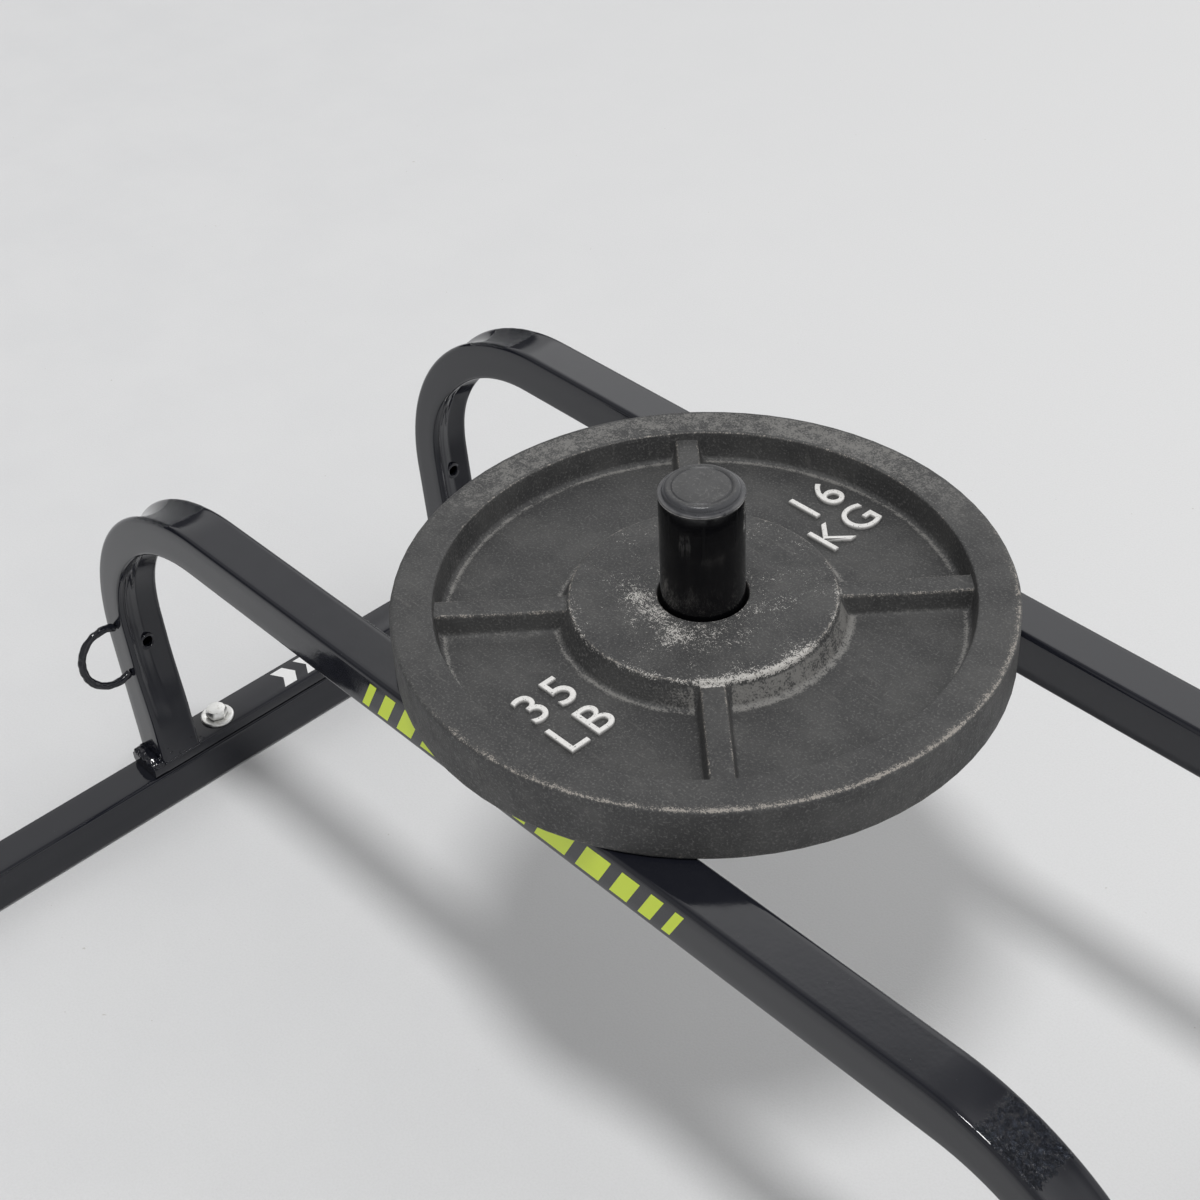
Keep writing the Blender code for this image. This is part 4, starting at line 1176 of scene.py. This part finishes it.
def make_spatter(material):
    """Fine weld spatter scattered on the bars and legs, from two small patches per leg."""
    group = Group("spatter", "Geometry", {"Geometry": "Geometry", "Drops per Area": "Float", "Seed": "Int",
                                          "Material": "Material"}, ("Geometry",))
    given = group.given
    points = group.node("GeometryNodeDistributePointsOnFaces", "Points", Mesh=given["Geometry"],
                        Density=given["Drops per Area"], Seed=given["Seed"])
    drop = group.node("GeometryNodeMeshIcoSphere", "Mesh", Subdivisions=1, Radius=0.0006)
    group.give_copies(points, drop, Scale=group.random(0.45, 1.2, 7))
    vertices = []
    for sign in SIDES.values():
        for end in (-1, 1):
            on_bar = (sign * FOOT_X, end * (HOOP_Y - HALF_TUBE) - end * 0.006, BAR_TOP + 0.0001)
            on_leg = (sign * (FOOT_X - HALF_TUBE + 0.0004), end * HOOP_Y, BAR_TOP + 0.008)
            for centre, across, along in ((on_bar, (0.013, 0, 0), (0, 0.006, 0)),
                                          (on_leg, (0, 0.012, 0), (sign * 0.0004, 0, 0.0065))):
                c, a, b = Vector(centre), Vector(across), Vector(along)
                vertices += [c - a - b, c + a - b, c + a + b, c - a + b]
    mesh = bpy.data.meshes.new("weld_spatter")
    mesh.from_pydata(vertices, [], [tuple(range(i, i + 4)) for i in range(0, len(vertices), 4)])
    grown = group.grown_on(mesh, "weld_spatter", Drops_per_Area=22000.0, Seed=3, Material=material)
    finish_piece(grown, "weld_spatter", material, (), 70.0)


# Printed marks

def make_film(name, outlines, origin, across, along, normal, material):
    """Thin printed film from flat (u, v) outlines on a face with these two axes."""
    graph = bmesh.new()
    for outline in outlines:
        lower, upper = [], []
        for u, v in outline:
            place = Vector(origin) + Vector(across) * u + Vector(along) * v + Vector(normal) * FILM_LIFT
            lower.append(graph.verts.new(place))
            upper.append(graph.verts.new(place + Vector(normal) * FILM_THICKNESS))
        graph.faces.new(lower)
        graph.faces.new(upper)
        skin_rings(graph, [lower, upper])
    finish_piece(graph_to_mesh(graph, name), name, material, (), 30.0)


def make_rail_stripes(material):
    """Row of slanted bars on the front rail's face, broad in the middle and fine at the ends."""
    outlines = []
    half, slant = 0.0105, 0.011
    at = -0.117
    for width in (0.006, 0.009, 0.013, 0.018, 0.024, 0.030, 0.024, 0.018, 0.013, 0.009, 0.006):
        low, high = at - slant / 2, at + slant / 2
        outlines.append([(low, -half), (low + width, -half), (high + width, half), (high, half)])
        at += width + 0.0083
    face = (0.0, -HOOP_Y - HALF_TUBE, RAIL_CENTRE)
    make_film("rail_stripes", outlines, face, (1, 0, 0), (0, 0, 1), (0, -1, 0), material)


def make_bar_chevrons(material):
    """Chevrons on each base bar's top, between the hoops."""
    outlines = []
    for i in range(4):
        at = -0.0440 + i * 0.0215
        outlines.append([(at, -0.0100), (at + 0.011, -0.0100), (at + 0.0165, 0.0), (at + 0.011, 0.0100),
                         (at, 0.0100), (at + 0.0055, 0.0)])
    for side, sign in SIDES.items():
        top = (sign * FOOT_X, 0.0, BAR_TOP)
        make_film(f"{side}_bar_chevrons", outlines, top, (0, 1, 0), (1, 0, 0), (0, 0, 1), material)


# The whole sled

def dress_packed_nodes(paint, zinc, iron, plug):
    """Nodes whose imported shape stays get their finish."""
    for name, node in NODES.items():
        finish = paint
        if name.endswith("_plug"):
            finish = plug
        elif name.endswith(("_weld_nut", "_bolt", "_washer")):
            finish = zinc
        elif name == "weight_plate":
            finish = iron
        for slot in node.material_slots:
            slot.material = finish


def dress_sled():
    skin, wear, scratches = sprayed_skin_effect(), worn_edge_effect(), fine_scratch_effect()
    paint = gloss_black_paint(skin)
    zinc = zinc_plate()
    iron = cast_iron(wear, scratches)
    plug = satin_plastic("ski_plug_plastic", scratches, (0.018, 0.018, 0.019), (0.030, 0.030, 0.031), 0.50)
    dress_packed_nodes(paint, zinc, iron, plug)
    make_hoop("front_pressed_tube", -HOOP_Y, paint)
    make_hoop("rear_pressed_tube", HOOP_Y, paint)
    make_hole_rims(paint)
    for side, sign in SIDES.items():
        make_ski(side, sign, paint)
        make_base_bar(side, sign, paint)
        make_tow_ring(side, sign, paint)
    make_hardware(zinc)
    make_weld_beads(paint)
    make_weld_pads(paint)
    make_spatter(paint)
    make_horn(horn_paint(skin, scratches))
    cap = satin_plastic("horn_cap_plastic", scratches, (0.034, 0.035, 0.040), (0.052, 0.053, 0.058), 0.31)
    make_horn_cap(cap)
    make_weight_plate(iron)
    make_weight_marks(mark_enamel())
    make_rail_stripes(stripe_film("lime_stripe_film", (0.64, 0.80, 0.035), (0.72, 0.87, 0.060)))
    make_bar_chevrons(stripe_film("white_chevron_film", (0.74, 0.74, 0.74), (0.84, 0.84, 0.84)))


scene = bpy.context.scene
scene.view_settings.view_transform = "Standard"
stand_camera()
lay_floor()
hang_lamp()
light_room()
dress_sled()
